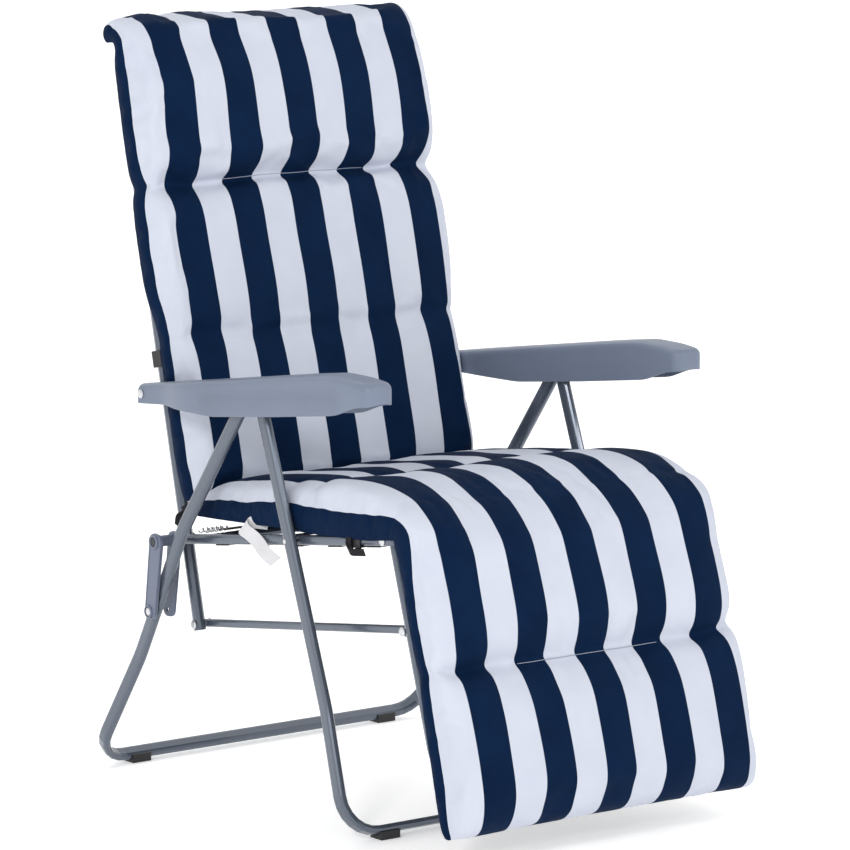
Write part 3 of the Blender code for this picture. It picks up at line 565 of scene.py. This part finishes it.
def cloth_material(name, striped):
    """Woven cotton, printed with navy and white stripes or plain navy."""
    n = Nodes(name)
    across, threads = weave(n)
    cloud = n.noise(14.0, 4.0, 0.6)
    fine = n.noise(320.0, 2.0, 0.5)
    navy = n.mix(n.ramp(cloud, 0.0, 1.0, 0.35, 0.70), NAVY, NAVY_LIGHT)
    if striped:
        white = n.mix(n.ramp(cloud, 0.0, 1.0, 0.35, 0.70), WHITE, WHITE_SHADE)
        # the outermost stripes are white and run on round the pad's edge
        from_middle = n.math("ABSOLUTE", n.math("SUBTRACT", across, PATTERN_SHIFT))
        capped = n.math("MINIMUM", from_middle, 5 * STRIPE)
        # the added 20 stripes are whole repeats, and the half stripe centres the middle one
        shift = n.math("DIVIDE", n.math("ADD", capped, 0.5 * STRIPE + 20 * STRIPE), 2 * STRIPE)
        saw = n.math("FRACT", shift)
        inside = n.math("ABSOLUTE", n.math("SUBTRACT", saw, 0.25))
        factor = n.ramp(inside, 0.0, 1.0, 0.25 - PRINT_EDGE, 0.25 + PRINT_EDGE)
        colour = n.mix(factor, navy, white)
    else:
        colour = navy
    n.link(colour, n.shader.inputs["Base Color"])
    n.link(n.ramp(fine, 0.62, 0.80), n.shader.inputs["Roughness"])
    n.set(Sheen_Weight=0.01, Sheen_Roughness=0.4, Specular_IOR_Level=0.04)
    n.bump(n.math("ADD", n.math("MULTIPLY", threads, 0.5), n.math("MULTIPLY", fine, 0.6)), 0.35, 0.0004)
    return n.material


def paint_material(name, colour, roughness, metallic):
    """Glossy baked paint whose colour varies slightly."""
    n = Nodes(name)
    cloud = n.noise(5.0, 1.0, 0.4)
    darker = tuple(0.94 * c for c in colour)
    lighter = tuple(1.06 * c for c in colour)
    n.link(n.mix(n.ramp(cloud, 0.0, 1.0, 0.2, 0.8), darker, lighter), n.shader.inputs["Base Color"])
    n.set(Roughness=roughness, Metallic=metallic, Coat_Weight=0.35, Coat_Roughness=0.08)
    return n.material


def plastic_material(name, colour, roughness, grain_scale=700.0):
    """Moulded plastic with a fine grain, also used for thread and satin."""
    n = Nodes(name)
    cloud = n.noise(6.0, 3.0, 0.55)
    grain = n.noise(grain_scale, 3.0, 0.55)
    darker = tuple(0.93 * c for c in colour)
    lighter = tuple(min(1.0, 1.05 * c) for c in colour)
    n.link(n.mix(n.ramp(cloud, 0.0, 1.0, 0.3, 0.7), darker, lighter), n.shader.inputs["Base Color"])
    n.link(n.ramp(grain, roughness - 0.06, roughness + 0.08), n.shader.inputs["Roughness"])
    n.set(Specular_IOR_Level=0.45)
    n.bump(grain, 0.20, 0.0003)
    return n.material


def steel_material(name):
    """Bright plated steel with fine scratches."""
    n = Nodes(name)
    scratch = n.noise(260.0, 4.0, 0.6)
    n.link(n.mix(scratch, (0.50, 0.51, 0.53), (0.72, 0.73, 0.75)), n.shader.inputs["Base Color"])
    n.link(n.ramp(scratch, 0.18, 0.42), n.shader.inputs["Roughness"])
    n.set(Metallic=0.95)
    n.bump(scratch, 0.10, 0.0002)
    return n.material


def webbing_material(name):
    """Woven elastic: fine ribs along the band."""
    n = Nodes(name)
    place = n.add("TexCoord").outputs["Object"]
    parts = n.add("SeparateXYZ")
    n.link(place, parts.inputs["Vector"])
    ribs = n.math("SINE", n.math("MULTIPLY", parts.outputs["Y"], 2 * math.pi / RIB_PITCH))
    rows = n.math("SINE", n.math("MULTIPLY", parts.outputs["X"], 2 * math.pi / ROW_PITCH))
    height = n.math("MULTIPLY", ribs, rows)
    # the colour follows the weave's height: raised ribs are painted lighter as painted highlight, hollows
    # darker as painted shade
    lighter = tuple(2.0 * c for c in WEBBING_BLACK)
    colour = n.mix(n.ramp(height, 0.0, 1.0, -1.0, 1.0), WEBBING_BLACK, lighter)
    n.link(colour, n.shader.inputs["Base Color"])
    n.link(n.ramp(n.noise(200.0), 0.75, 0.92), n.shader.inputs["Roughness"])
    n.set(Sheen_Weight=0.03, Specular_IOR_Level=0.15)
    n.bump(height, 0.5, 0.0004)
    return n.material


STRIPED = cloth_material("striped_cloth", True)
GUSSET_CLOTH = cloth_material("navy_gusset_cloth", False)
BACKING_CLOTH = cloth_material("navy_backing_cloth", False)
FRAME_PAINT = paint_material("frame_powder_coat", (0.100, 0.120, 0.155), 0.26, 0.40)
ARM_PLASTIC = plastic_material("armrest_moulding", (0.150, 0.182, 0.250), 0.42)
LINK_PLASTIC = plastic_material("hinge_link_moulding", (0.140, 0.162, 0.225), 0.45)
BLACK_PLASTIC = plastic_material("black_moulding", (0.014, 0.014, 0.016), 0.50)
BOLT_STEEL = steel_material("zinc_plated_steel")
THREAD = plastic_material("sewing_thread", (0.30, 0.33, 0.42), 0.70)
DARK_PIN = plastic_material("blackened_pin", (0.030, 0.032, 0.040), 0.40)
WEBBING = webbing_material("black_webbing")
LABEL = plastic_material("label_satin", (0.62, 0.62, 0.64), 0.60, 1500.0)

for pad in (back_pad, seat_pad):
    for material in (STRIPED, GUSSET_CLOTH, BACKING_CLOTH):
        pad.data.materials.append(material)
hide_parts("back_cushion", "head_cushion")
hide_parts("seat_cushion", "knee_cushion", "footrest_cushion")
# side-view places of the pad's bends; the loop below does not use them
BACK_BEND = (along_back(0.075, 0.060), along_back(0.200, 0.060))
KNEE_BEND = ((0.195, 0.495), (0.315, 0.395))
for pad, body, bend in ((back_pad, "backrest", BACK_BEND), (seat_pad, "footrest", KNEE_BEND)):
    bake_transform(pad)

SLOT_LOOKS = {"frame_paint": FRAME_PAINT, "armrest_plastic": ARM_PLASTIC, "link_plastic": LINK_PLASTIC,
              "black_plastic": BLACK_PLASTIC, "bolt_steel": BOLT_STEEL, "elastic_strap": WEBBING,
              "label_cloth": LABEL}
slot_of = {part["node"]: part["material_slot"] for part in frame["record"]["subparts"]}
for node in frame["nodes"]:
    name = node if isinstance(node, str) else node["name"]
    item = bpy.data.objects[name]
    look = DARK_PIN if name.startswith("back_pivot_bolt") else SLOT_LOOKS.get(slot_of.get(name))
    if look is None:
        continue
    for entry in item.material_slots:
        entry.link = "OBJECT"
        entry.material = look

# ---------------------------------------------------------------- small pieces added round the frame

def place(x, forward, up):
    """World position of a side-view place at a distance across the chair."""
    return Vector((x, MIDDLE_Y - forward, up))


def tube(name, points, radius, closed=False, sides=8):
    """A round wire or rim through points."""
    points = [Vector(p) for p in points]
    count = len(points)
    verts, faces = [], []
    normal = None
    for k, point in enumerate(points):
        ahead = points[(k + 1) % count] if closed or k < count - 1 else point
        behind = points[k - 1] if closed or k else point
        along = (ahead - behind).normalized()
        if normal is None:
            normal = along.orthogonal().normalized()
        normal = (normal - along * normal.dot(along)).normalized()
        other = along.cross(normal)
        for j in range(sides):
            turn = 2 * math.pi * j / sides
            verts.append(point + radius * (math.cos(turn) * normal + math.sin(turn) * other))
    for k in range(count if closed else count - 1):
        a, b = k * sides, (k + 1) % count * sides
        faces += [(a + j, a + (j + 1) % sides, b + (j + 1) % sides, b + j) for j in range(sides)]
    if not closed:
        faces.append(tuple(reversed(range(sides))))
        faces.append(tuple(range((count - 1) * sides, count * sides)))
    return new_mesh(name, verts, faces)


RING_SIDES = 40


def turned(name, centre, profile, sign):
    """A turned piece on an axis across the chair; profile is (distance out along the axis, radius)."""
    verts, faces = [], []
    for out, radius in profile:
        for j in range(RING_SIDES):
            turn = 2 * math.pi * j / RING_SIDES
            verts.append((centre.x + sign * out, centre.y + radius * math.cos(turn),
                          centre.z + radius * math.sin(turn)))
    for k in range(len(profile) - 1):
        for j in range(RING_SIDES):
            n = (j + 1) % RING_SIDES
            a, b = k * RING_SIDES, (k + 1) * RING_SIDES
            quad = (a + j, a + n, b + n, b + j)
            faces.append(quad if sign > 0 else tuple(reversed(quad)))
    faces.append(tuple(range((len(profile) - 1) * RING_SIDES, len(profile) * RING_SIDES)))
    faces.append(tuple(reversed(range(RING_SIDES))))
    return new_mesh(name, verts, faces, False)


def smooth_by_angle(item, degrees=35):
    """Smooth shading that keeps the edges sharper than an angle."""
    mesh = item.data
    mesh.shade_smooth()
    mesh.set_sharp_from_angle(angle=math.radians(degrees))


def face_outwards(item):
    """Turn all of a closed mesh's faces outwards."""
    work = bmesh.new()
    work.from_mesh(item.data)
    bmesh.ops.recalc_face_normals(work, faces=work.faces)
    work.to_mesh(item.data)
    work.free()


def ribbon(name, path, widths, thickness):
    """A tape: path of middle points, widths as vectors to its right-hand edge, with thickness."""
    verts, faces = [], []
    count = len(path)
    for k, (point, width) in enumerate(zip(path, widths)):
        ahead = path[min(k + 1, count - 1)] - path[max(k - 1, 0)]
        normal = ahead.cross(width).normalized() * thickness / 2
        for side, level in ((-1, 1), (1, 1), (1, -1), (-1, -1)):
            verts.append(point + side * width + level * normal)
    for k in range(count - 1):
        a, b = 4 * k, 4 * k + 4
        faces += [(a + j, a + (j + 1) % 4, b + (j + 1) % 4, b + j) for j in range(4)]
    faces += [(3, 2, 1, 0), tuple(4 * (count - 1) + j for j in range(4))]
    item = new_mesh(name, verts, faces, False)
    face_outwards(item)
    smooth_by_angle(item)
    return item


def curve_points(points, each=8):
    """A smooth curve through points, with so many steps from each to the next."""
    return [Vector(row) for row in spline([tuple(p) for p in points], each)]


def paint(item, material, body):
    """Give a piece its material, and fix it to a body of the frame."""
    item.data.materials.append(material)
    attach(item, body)


OUTER_PLATE_FACE = 0.2925             # outer face of the hinge links, across the chair
PLATE_EXTRA = 0.0066                  # how far the plates reach in front of their pins
UPPER_RING = [(0.0, 0.0112), (0.0022, 0.0108), (0.0030, 0.0098), (0.0030, 0.0078), (0.0014, 0.0068),
              (0.0014, 0.0020)]
LOWER_RING = [(0.0, 0.0098), (0.0020, 0.0094), (0.0026, 0.0086), (0.0026, 0.0074), (0.0012, 0.0066),
              (0.0012, 0.0020)]
SEAT_SLOPE = 0.1412                   # rise of the seat rails towards the front


def rail_height(forward):
    """Height of the middle of the seat rails."""
    return BACK_PIVOT.z + (forward - (MIDDLE_Y - BACK_PIVOT.y)) * SEAT_SLOPE


LINK_PIVOT = Vector(JOINTS["hinge_link_swing"]["pos_m"])
lower_low, lower_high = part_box("hinge_link_bolt_left")
LOWER_PIVOT = (lower_low + lower_high) / 2

# moulded armrests: knots are (forward, height) along the top, the bottom and a raised line on the outer
# side, and (forward, distance across) for the outer side, which steps in towards the pivot block
ARM_TOP = [(-0.340, 0.5800), (-0.100, 0.6165), (0.080, 0.6440), (0.150, 0.6535), (0.205, 0.6530),
           (0.2445, 0.6490)]
ARM_BOTTOM = [(-0.340, 0.5520), (-0.262, 0.5590), (-0.200, 0.5595), (-0.125, 0.5610), (0.020, 0.5790),
              (0.170, 0.5995), (0.212, 0.6150), (0.2445, 0.6200)]
ARM_LINE = [(-0.172, 0.5800), (0.183, 0.6275)]
ARM_OUTER = [(-0.340, 0.2800), (-0.274, 0.2800), (-0.222, 0.2945), (-0.195, 0.2975), (0.2445, 0.2975)]
ARM_WALL = 0.003
ARM_EDGE = 0.0105                     # radius of the long top edges
ARM_FRONT_CORNER = 0.017              # radius of the front corners, seen from above
ARM_REAR_CORNER = 0.004
ARM_FRONT_DROP = 0.006                # radius of the front end, seen from the side
ARM_LIP = 0.0008                      # radius of the lower rims
ARM_SOFTNESS = 0.010                  # the corners of these curves are rounded over this much each way
ARM_HOLLOW_FROM = -0.205              # the pivot block behind this place is solid
ARM_STATIONS = 64
ARM_STEP = 0.0016                     # the side below the line stands proud by this much
RECESS = 0.0006                       # where the underside isn't hollow it is still slightly dished


def soft_curve(knots, forward):
    """Height on the polyline through the knots, with its corners rounded over a short reach."""
    near = np.linspace(-ARM_SOFTNESS, ARM_SOFTNESS, 9)
    places, heights = np.array(knots).T
    return float(np.mean(np.interp(forward + near, places, heights)))


def corner_inset(distance, radius):
    """How far a rounded corner draws in at a distance from the end face."""
    if distance >= radius:
        return 0.0
    return radius - math.sqrt(max(radius ** 2 - (radius - distance) ** 2, 0.0))


def arm_section(forward, rear, front, inner):
    """Closed section (across, up): the outside from the inner rim over the top, then back inside."""
    ahead = forward - rear
    behind = front - forward
    inset = corner_inset(behind, ARM_FRONT_CORNER) + corner_inset(ahead, ARM_REAR_CORNER)
    drop = corner_inset(behind, ARM_FRONT_DROP) + corner_inset(ahead, ARM_REAR_CORNER)
    x_in = inner + inset
    x_out = soft_curve(ARM_OUTER, forward) - inset
    top = soft_curve(ARM_TOP, forward) - drop
    bottom = soft_curve(ARM_BOTTOM, forward) + 0.5 * drop
    line = float(np.interp(forward, *np.array(ARM_LINE).T))
    line = min(max(line, bottom + 0.006), top - ARM_EDGE - 0.003)
    fade = smoothstep((forward - ARM_LINE[0][0]) / 0.02) * smoothstep((ARM_LINE[1][0] - forward) / 0.02)
    step = ARM_STEP * float(fade)
    hollow = float(smoothstep((forward - ARM_HOLLOW_FROM) / 0.02)
                   * smoothstep((behind - ARM_WALL) / 0.006))
    roof = bottom + RECESS + hollow * (top - ARM_WALL - bottom - RECESS)
    edge = min(ARM_EDGE, 0.48 * (x_out - x_in))
    section = [(x_in + ARM_LIP, bottom), (x_in, bottom + ARM_LIP)]
    for centre, first in ((x_in + edge, math.pi), (x_out - edge, math.pi / 2)):
        section += [(centre + edge * math.cos(first - turn), top - edge + edge * math.sin(first - turn))
                    for turn in np.linspace(0, math.pi / 2, 8)]
    section += [(x_out, line + 0.0022), (x_out + step, line), (x_out + step, bottom + ARM_LIP),
                (x_out + step - ARM_LIP, bottom), (x_out - ARM_WALL, bottom)]
    inner_edge = min(0.8 * ARM_EDGE, 0.45 * (roof - bottom), 0.48 * (x_out - x_in) - ARM_WALL)
    for centre, first in ((x_out - ARM_WALL - inner_edge, 0.0),
                          (x_in + ARM_WALL + inner_edge, math.pi / 2)):
        section += [(centre + inner_edge * math.cos(first + turn),
                     roof - inner_edge + inner_edge * math.sin(first + turn))
                    for turn in np.linspace(0, math.pi / 2, 5)]
    section.append((x_in + ARM_WALL, bottom))
    return section


def make_armrest(side_name, sign):
    """A moulded shell of the same size and place as the frame's armrest."""
    low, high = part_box("armrest_" + side_name)
    inner = min(abs(low.x), abs(high.x))
    rear, front = MIDDLE_Y - high.y, MIDDLE_Y - low.y
    ends = 1 - np.cos(np.linspace(0, math.pi / 2, 9))
    stations = np.concatenate([rear + ARM_REAR_CORNER * ends,
                               np.linspace(rear + 0.010, front - 0.024, ARM_STATIONS),
                               front - ARM_FRONT_CORNER * ends[::-1]])
    verts, faces = [], []
    for forward in stations:
        section = arm_section(float(forward), rear, front, inner)
        verts += [place(sign * x, float(forward), z) for x, z in section]
    count = len(section)
    for row in range(len(stations) - 1):
        for k in range(count):
            here, other = row * count + k, row * count + (k + 1) % count
            faces.append((here, other, other + count, here + count))
    faces.append(tuple(reversed(range(count))))
    faces.append(tuple(range((len(stations) - 1) * count, len(stations) * count)))
    arm = new_mesh("moulded_armrest_" + side_name, verts, faces)
    face_outwards(arm)
    smooth_by_angle(arm, 40)
    paint(arm, ARM_PLASTIC, "armrest_" + side_name)
    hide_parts("armrest_" + side_name)


for side_name, sign in SIDES:
    make_armrest(side_name, sign)

SEAT_STRAPS = 5
STRAP_FORWARD = -0.226                # of the strap close to the rear bar
STRAP_HALF_LENGTH, STRAP_HALF_WIDTH, STRAP_THICKNESS = 0.212, 0.0140, 0.0014
HOOK_FROM, HOOK_LENGTH = 0.206, 0.038   # where a hook's coil begins across the chair, and its length
HOOK_HALF_GAP = 0.008                 # each strap has two hooks at each end
HOOK_DEPTH, HOOK_HEIGHT = 0.0032, 0.0030   # half the size of a coil
HOOK_STEPS, HOOK_STEPS_EACH = 60, 12  # along the whole coil, and for one turn of the wire
WIRE_RADIUS = 0.0010
RAIL_X = 0.2500                       # middle of the seat rails, across the chair
TAPE_FORWARD = 0.151                  # of the tape round the rail
TAPE_ACROSS, TAPE_UP = 0.0108, 0.0140   # half the size of its loop
TAPE_STEPS = 24
TAPE_THICKNESS, KNOT_THICKNESS = 0.0012, 0.0014
BORDER_STEPS = 6

# one more strap close to the rear bar, and the middles of the tops of all the seat straps
rear_strap = place(0, STRAP_FORWARD, rail_height(STRAP_FORWARD) + 0.0095)
strap_line = [rear_strap + Vector((STRAP_HALF_LENGTH * (k / 8 - 1), 0, 0)) for k in range(17)]
strap_width = Vector((0, -STRAP_HALF_WIDTH, STRAP_HALF_WIDTH * SEAT_SLOPE))
paint(ribbon("seat_rear_strap", strap_line, [strap_width] * len(strap_line), STRAP_THICKNESS), WEBBING,
      "seat")
strap_middles = [rear_strap]
for index in range(SEAT_STRAPS):
    low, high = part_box("seat_strap_%d" % (index + 1))
    strap_middles.append(Vector((0, (low.y + high.y) / 2, (low.z + high.z) / 2 + 0.0008)))

for side_name, sign in SIDES:
    # raised rings round the two pins of the hinge link, a black disc in each ring's groove as painted
    # shade, and a raised border round its plate
    for label, pivot, profile in (("upper", LINK_PIVOT, UPPER_RING), ("lower", LOWER_PIVOT, LOWER_RING)):
        centre = Vector((sign * OUTER_PLATE_FACE, pivot.y, pivot.z))
        ring = turned("hinge_boss_%s_%s" % (label, side_name), centre, profile, sign)
        smooth_by_angle(ring)
        paint(ring, LINK_PLASTIC, "hinge_links")
        # the black disc inside each ring is painted shade: it stands for the shadow in the ring's groove
        groove_radius = profile[3][1] + 0.0004
        groove_shade = turned("hinge_groove_shade_%s_%s" % (label, side_name), centre,
                        [(0.0, groove_radius), (0.0018, groove_radius), (0.0018, 0.0020)], sign)
        paint(groove_shade, BLACK_PLASTIC, "hinge_links")
    border = []
    front = Vector((0, -PLATE_EXTRA, 0))
    for pivot, radius, first in ((LINK_PIVOT, 0.0108, 0.0), (LINK_PIVOT + front, 0.0098, math.pi / 2),
                                 (LOWER_PIVOT + front, 0.0086, math.pi),
                                 (LOWER_PIVOT, 0.0088, 1.5 * math.pi)):
        for k in range(BORDER_STEPS + 1):
            turn = first + math.pi / 2 * k / BORDER_STEPS
            border.append((sign * OUTER_PLATE_FACE, pivot.y + radius * math.cos(turn),
                           pivot.z + radius * math.sin(turn)))
    paint(tube("hinge_border_" + side_name, border, 0.0010, closed=True), LINK_PLASTIC,
          "hinge_links")

    # wound wire hooks that hold the seat straps to the rails
    for index, middle in enumerate(strap_middles):
        for end_name, offset in (("front", -HOOK_HALF_GAP), ("rear", HOOK_HALF_GAP)):
            coil = []
            for k in range(HOOK_STEPS + 1):
                turn = 2 * math.pi * k / HOOK_STEPS_EACH
                x = HOOK_FROM + HOOK_LENGTH * k / HOOK_STEPS
                up = middle.z + 0.0020 + HOOK_HEIGHT * math.sin(turn) - offset * SEAT_SLOPE
                coil.append(Vector((sign * x, middle.y + offset + HOOK_DEPTH * math.cos(turn), up)))
            hook_name = "strap_spring_%d_%s_%s" % (index + 1, side_name, end_name)
            paint(tube(hook_name, coil, WIRE_RADIUS, sides=6), BOLT_STEEL, "seat")

    # tape round the rail under the knees, with a hanging end
    loop = []
    for k in range(TAPE_STEPS + 1):
        turn = math.radians(100) + 2 * math.pi * k / TAPE_STEPS * 0.985
        loop.append(Vector((sign * (RAIL_X - TAPE_ACROSS * math.cos(turn)), MIDDLE_Y - TAPE_FORWARD,
                            rail_height(TAPE_FORWARD) + TAPE_UP * math.sin(turn))))
    width = Vector((0, 0.0060, -0.0008))
    tape = ribbon("knee_tape_" + side_name, loop, [width] * len(loop), TAPE_THICKNESS)
    paint(tape, WEBBING, "seat")
    tail = curve_points([place(sign * 0.2575, 0.146, 0.4225), place(sign * 0.2625, 0.151, 0.4130),
                         place(sign * 0.2640, 0.160, 0.4068), place(sign * 0.2630, 0.174, 0.4078),
                         place(sign * 0.2620, 0.190, 0.4098)])
    widths = [Vector((sign * 0.0010, 0.0015, 0.0050)) if k > 12 else Vector((0, 0.0040, 0.0030))
              for k in range(len(tail))]
    tape_end = ribbon("knee_tape_end_" + side_name, tail, widths, TAPE_THICKNESS)
    paint(tape_end, WEBBING, "seat")

    # knotted tape at the rear corner of the seat, with a hanging end
    knot = curve_points([place(sign * 0.2440, -0.232, 0.4190), place(sign * 0.2560, -0.243, 0.4120),
                         place(sign * 0.2570, -0.255, 0.4060), place(sign * 0.2500, -0.262, 0.4000),
                         place(sign * 0.2570, -0.268, 0.3930), place(sign * 0.2585, -0.270, 0.3800)])
    width = Vector((sign * 0.0012, 0.0048, 0.0024))
    rear_tape = ribbon("rear_tape_" + side_name, knot, [width] * len(knot), KNOT_THICKNESS)
    paint(rear_tape, WEBBING, "seat")

# thread of each pad's deepest channel, lying across the middle stripes
THREAD_LIFT = 0.0010
THREAD_RADIUS = 0.00055
for name, pad, info, channels, body in (
        ("back_thread_2", back_pad, back_info, BACK_CHANNELS, "backrest"),
        ("seat_thread_3", seat_pad, seat_info, SEAT_CHANNELS, "footrest")):
    row = int(np.argmin(np.abs(info["s"] - channels[-1][0])))
    start = row * info["columns"]
    line = point_places(pad.data)[start:start + info["columns"]]
    inside = [Vector(p) for p, u in zip(line, info["U"][row]) if abs(u) < STITCHED_HALF]
    out = Vector(info["out"][row])
    stitches = [p + out * THREAD_LIFT for p in inside]
    paint(tube(name, stitches, THREAD_RADIUS, sides=6), THREAD, body)

# blank care label: a narrow satin strip sewn under the seat, folded once
label_path = curve_points([place(-0.2420, -0.066, 0.4130), place(-0.2500, -0.084, 0.4120),
                           place(-0.2590, -0.100, 0.4075), place(-0.2620, -0.097, 0.4000),
                           place(-0.2600, -0.080, 0.3930), place(-0.2610, -0.062, 0.3850),
                           place(-0.2640, -0.042, 0.3745), place(-0.2620, -0.020, 0.3650)], 6)
label_widths = []
for k in range(len(label_path)):
    twist = float(smoothstep(k / (0.5 * len(label_path))))
    label_widths.append(Vector((0.0016, 0.0, 0.0108)).lerp(Vector((0.0022, -0.0098, 0.0072)), twist))
care_label = ribbon("care_label_strip", label_path, label_widths, 0.0005)
paint(care_label, LABEL, "seat")
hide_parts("care_label")

# ---------------------------------------------------------------- floor, light and camera

floor_material = Nodes("pale_floor")
floor_material.shader.inputs["Base Color"].default_value = (0.95, 0.95, 0.95, 1.0)
floor_material.shader.inputs["Emission Color"].default_value = (1.0, 1.0, 1.0, 1.0)
floor_material.set(Emission_Strength=0.34, Roughness=0.9, Specular_IOR_Level=0.1)
HALF_FLOOR = 40
corners = [(x * HALF_FLOOR, y * HALF_FLOOR, 0) for x, y in ((-1, -1), (1, -1), (1, 1), (-1, 1))]
floor = new_mesh("floor", corners, [(0, 1, 2, 3)], False)
floor.location.z = CAD_BOUNDS[0][2] - 0.0004    # just clear of the feet
floor.data.materials.append(floor_material.material)


def area_light(name, position, target, size, power):
    """A round white light that faces a target."""
    light = bpy.data.lights.new(name, "AREA")
    light.shape = "DISK"
    light.size = size
    light.energy = power
    item = bpy.data.objects.new(name, light)
    item.location = position
    item.rotation_euler = (Vector(target) - Vector(position)).to_track_quat("-Z", "Y").to_euler()
    bpy.context.scene.collection.objects.link(item)


world = bpy.context.scene.world or bpy.data.worlds.new("studio")
bpy.context.scene.world = world
world.use_nodes = True
background = world.node_tree.nodes.get("Background") or world.node_tree.nodes.new("ShaderNodeBackground")
background.inputs["Strength"].default_value = 1.0
# the studio is white all round and greyer high up in front, so the tubes catch clear highlights
direction = world.node_tree.nodes.new("ShaderNodeTexCoord")
facing = world.node_tree.nodes.new("ShaderNodeVectorMath")
facing.operation = "DOT_PRODUCT"
facing.inputs[1].default_value = (-0.42, -0.56, 0.71)
falloff = world.node_tree.nodes.new("ShaderNodeMapRange")
for key, value in (("From Min", 0.71), ("From Max", 0.97), ("To Min", 1.05), ("To Max", 0.40)):
    falloff.inputs[key].default_value = value
world.node_tree.links.new(direction.outputs["Generated"], facing.inputs[0])
world.node_tree.links.new(facing.outputs["Value"], falloff.inputs["Value"])
world.node_tree.links.new(falloff.outputs["Result"], background.inputs["Color"])
area_light("key", (-3.4, -2.4, 2.6), (0, 0, 0.5), 0.9, 62)
area_light("fill", (0.8, -4.2, 2.6), (0, 0, 0.5), 0.9, 30)
area_light("rim", (0.5, 3.0, 3.0), (0, 0, 0.7), 2.5, 15)
bpy.context.scene.view_settings.view_transform = "Standard"

CAMERA_X, CAMERA_FORWARD, CAMERA_UP = -4.1995, 5.5527, 1.6555
CAMERA_TURN = math.radians(37.0)
CAMERA_DOWN = math.radians(9.13)
CAMERA_LENS = 209.7                   # focal length on a 36 mm sensor
camera_data = bpy.data.cameras.new("camera")
camera_data.sensor_width = 36.0
camera_data.lens = CAMERA_LENS
camera_data.clip_end = 200.0
camera = bpy.data.objects.new("camera", camera_data)
camera.location = (CAMERA_X, MIDDLE_Y - CAMERA_FORWARD, CAMERA_UP)
camera.rotation_euler = (math.pi / 2 - CAMERA_DOWN, 0, -CAMERA_TURN)
bpy.context.scene.collection.objects.link(camera)
bpy.context.scene.camera = camera

bpy.context.view_layer.update()
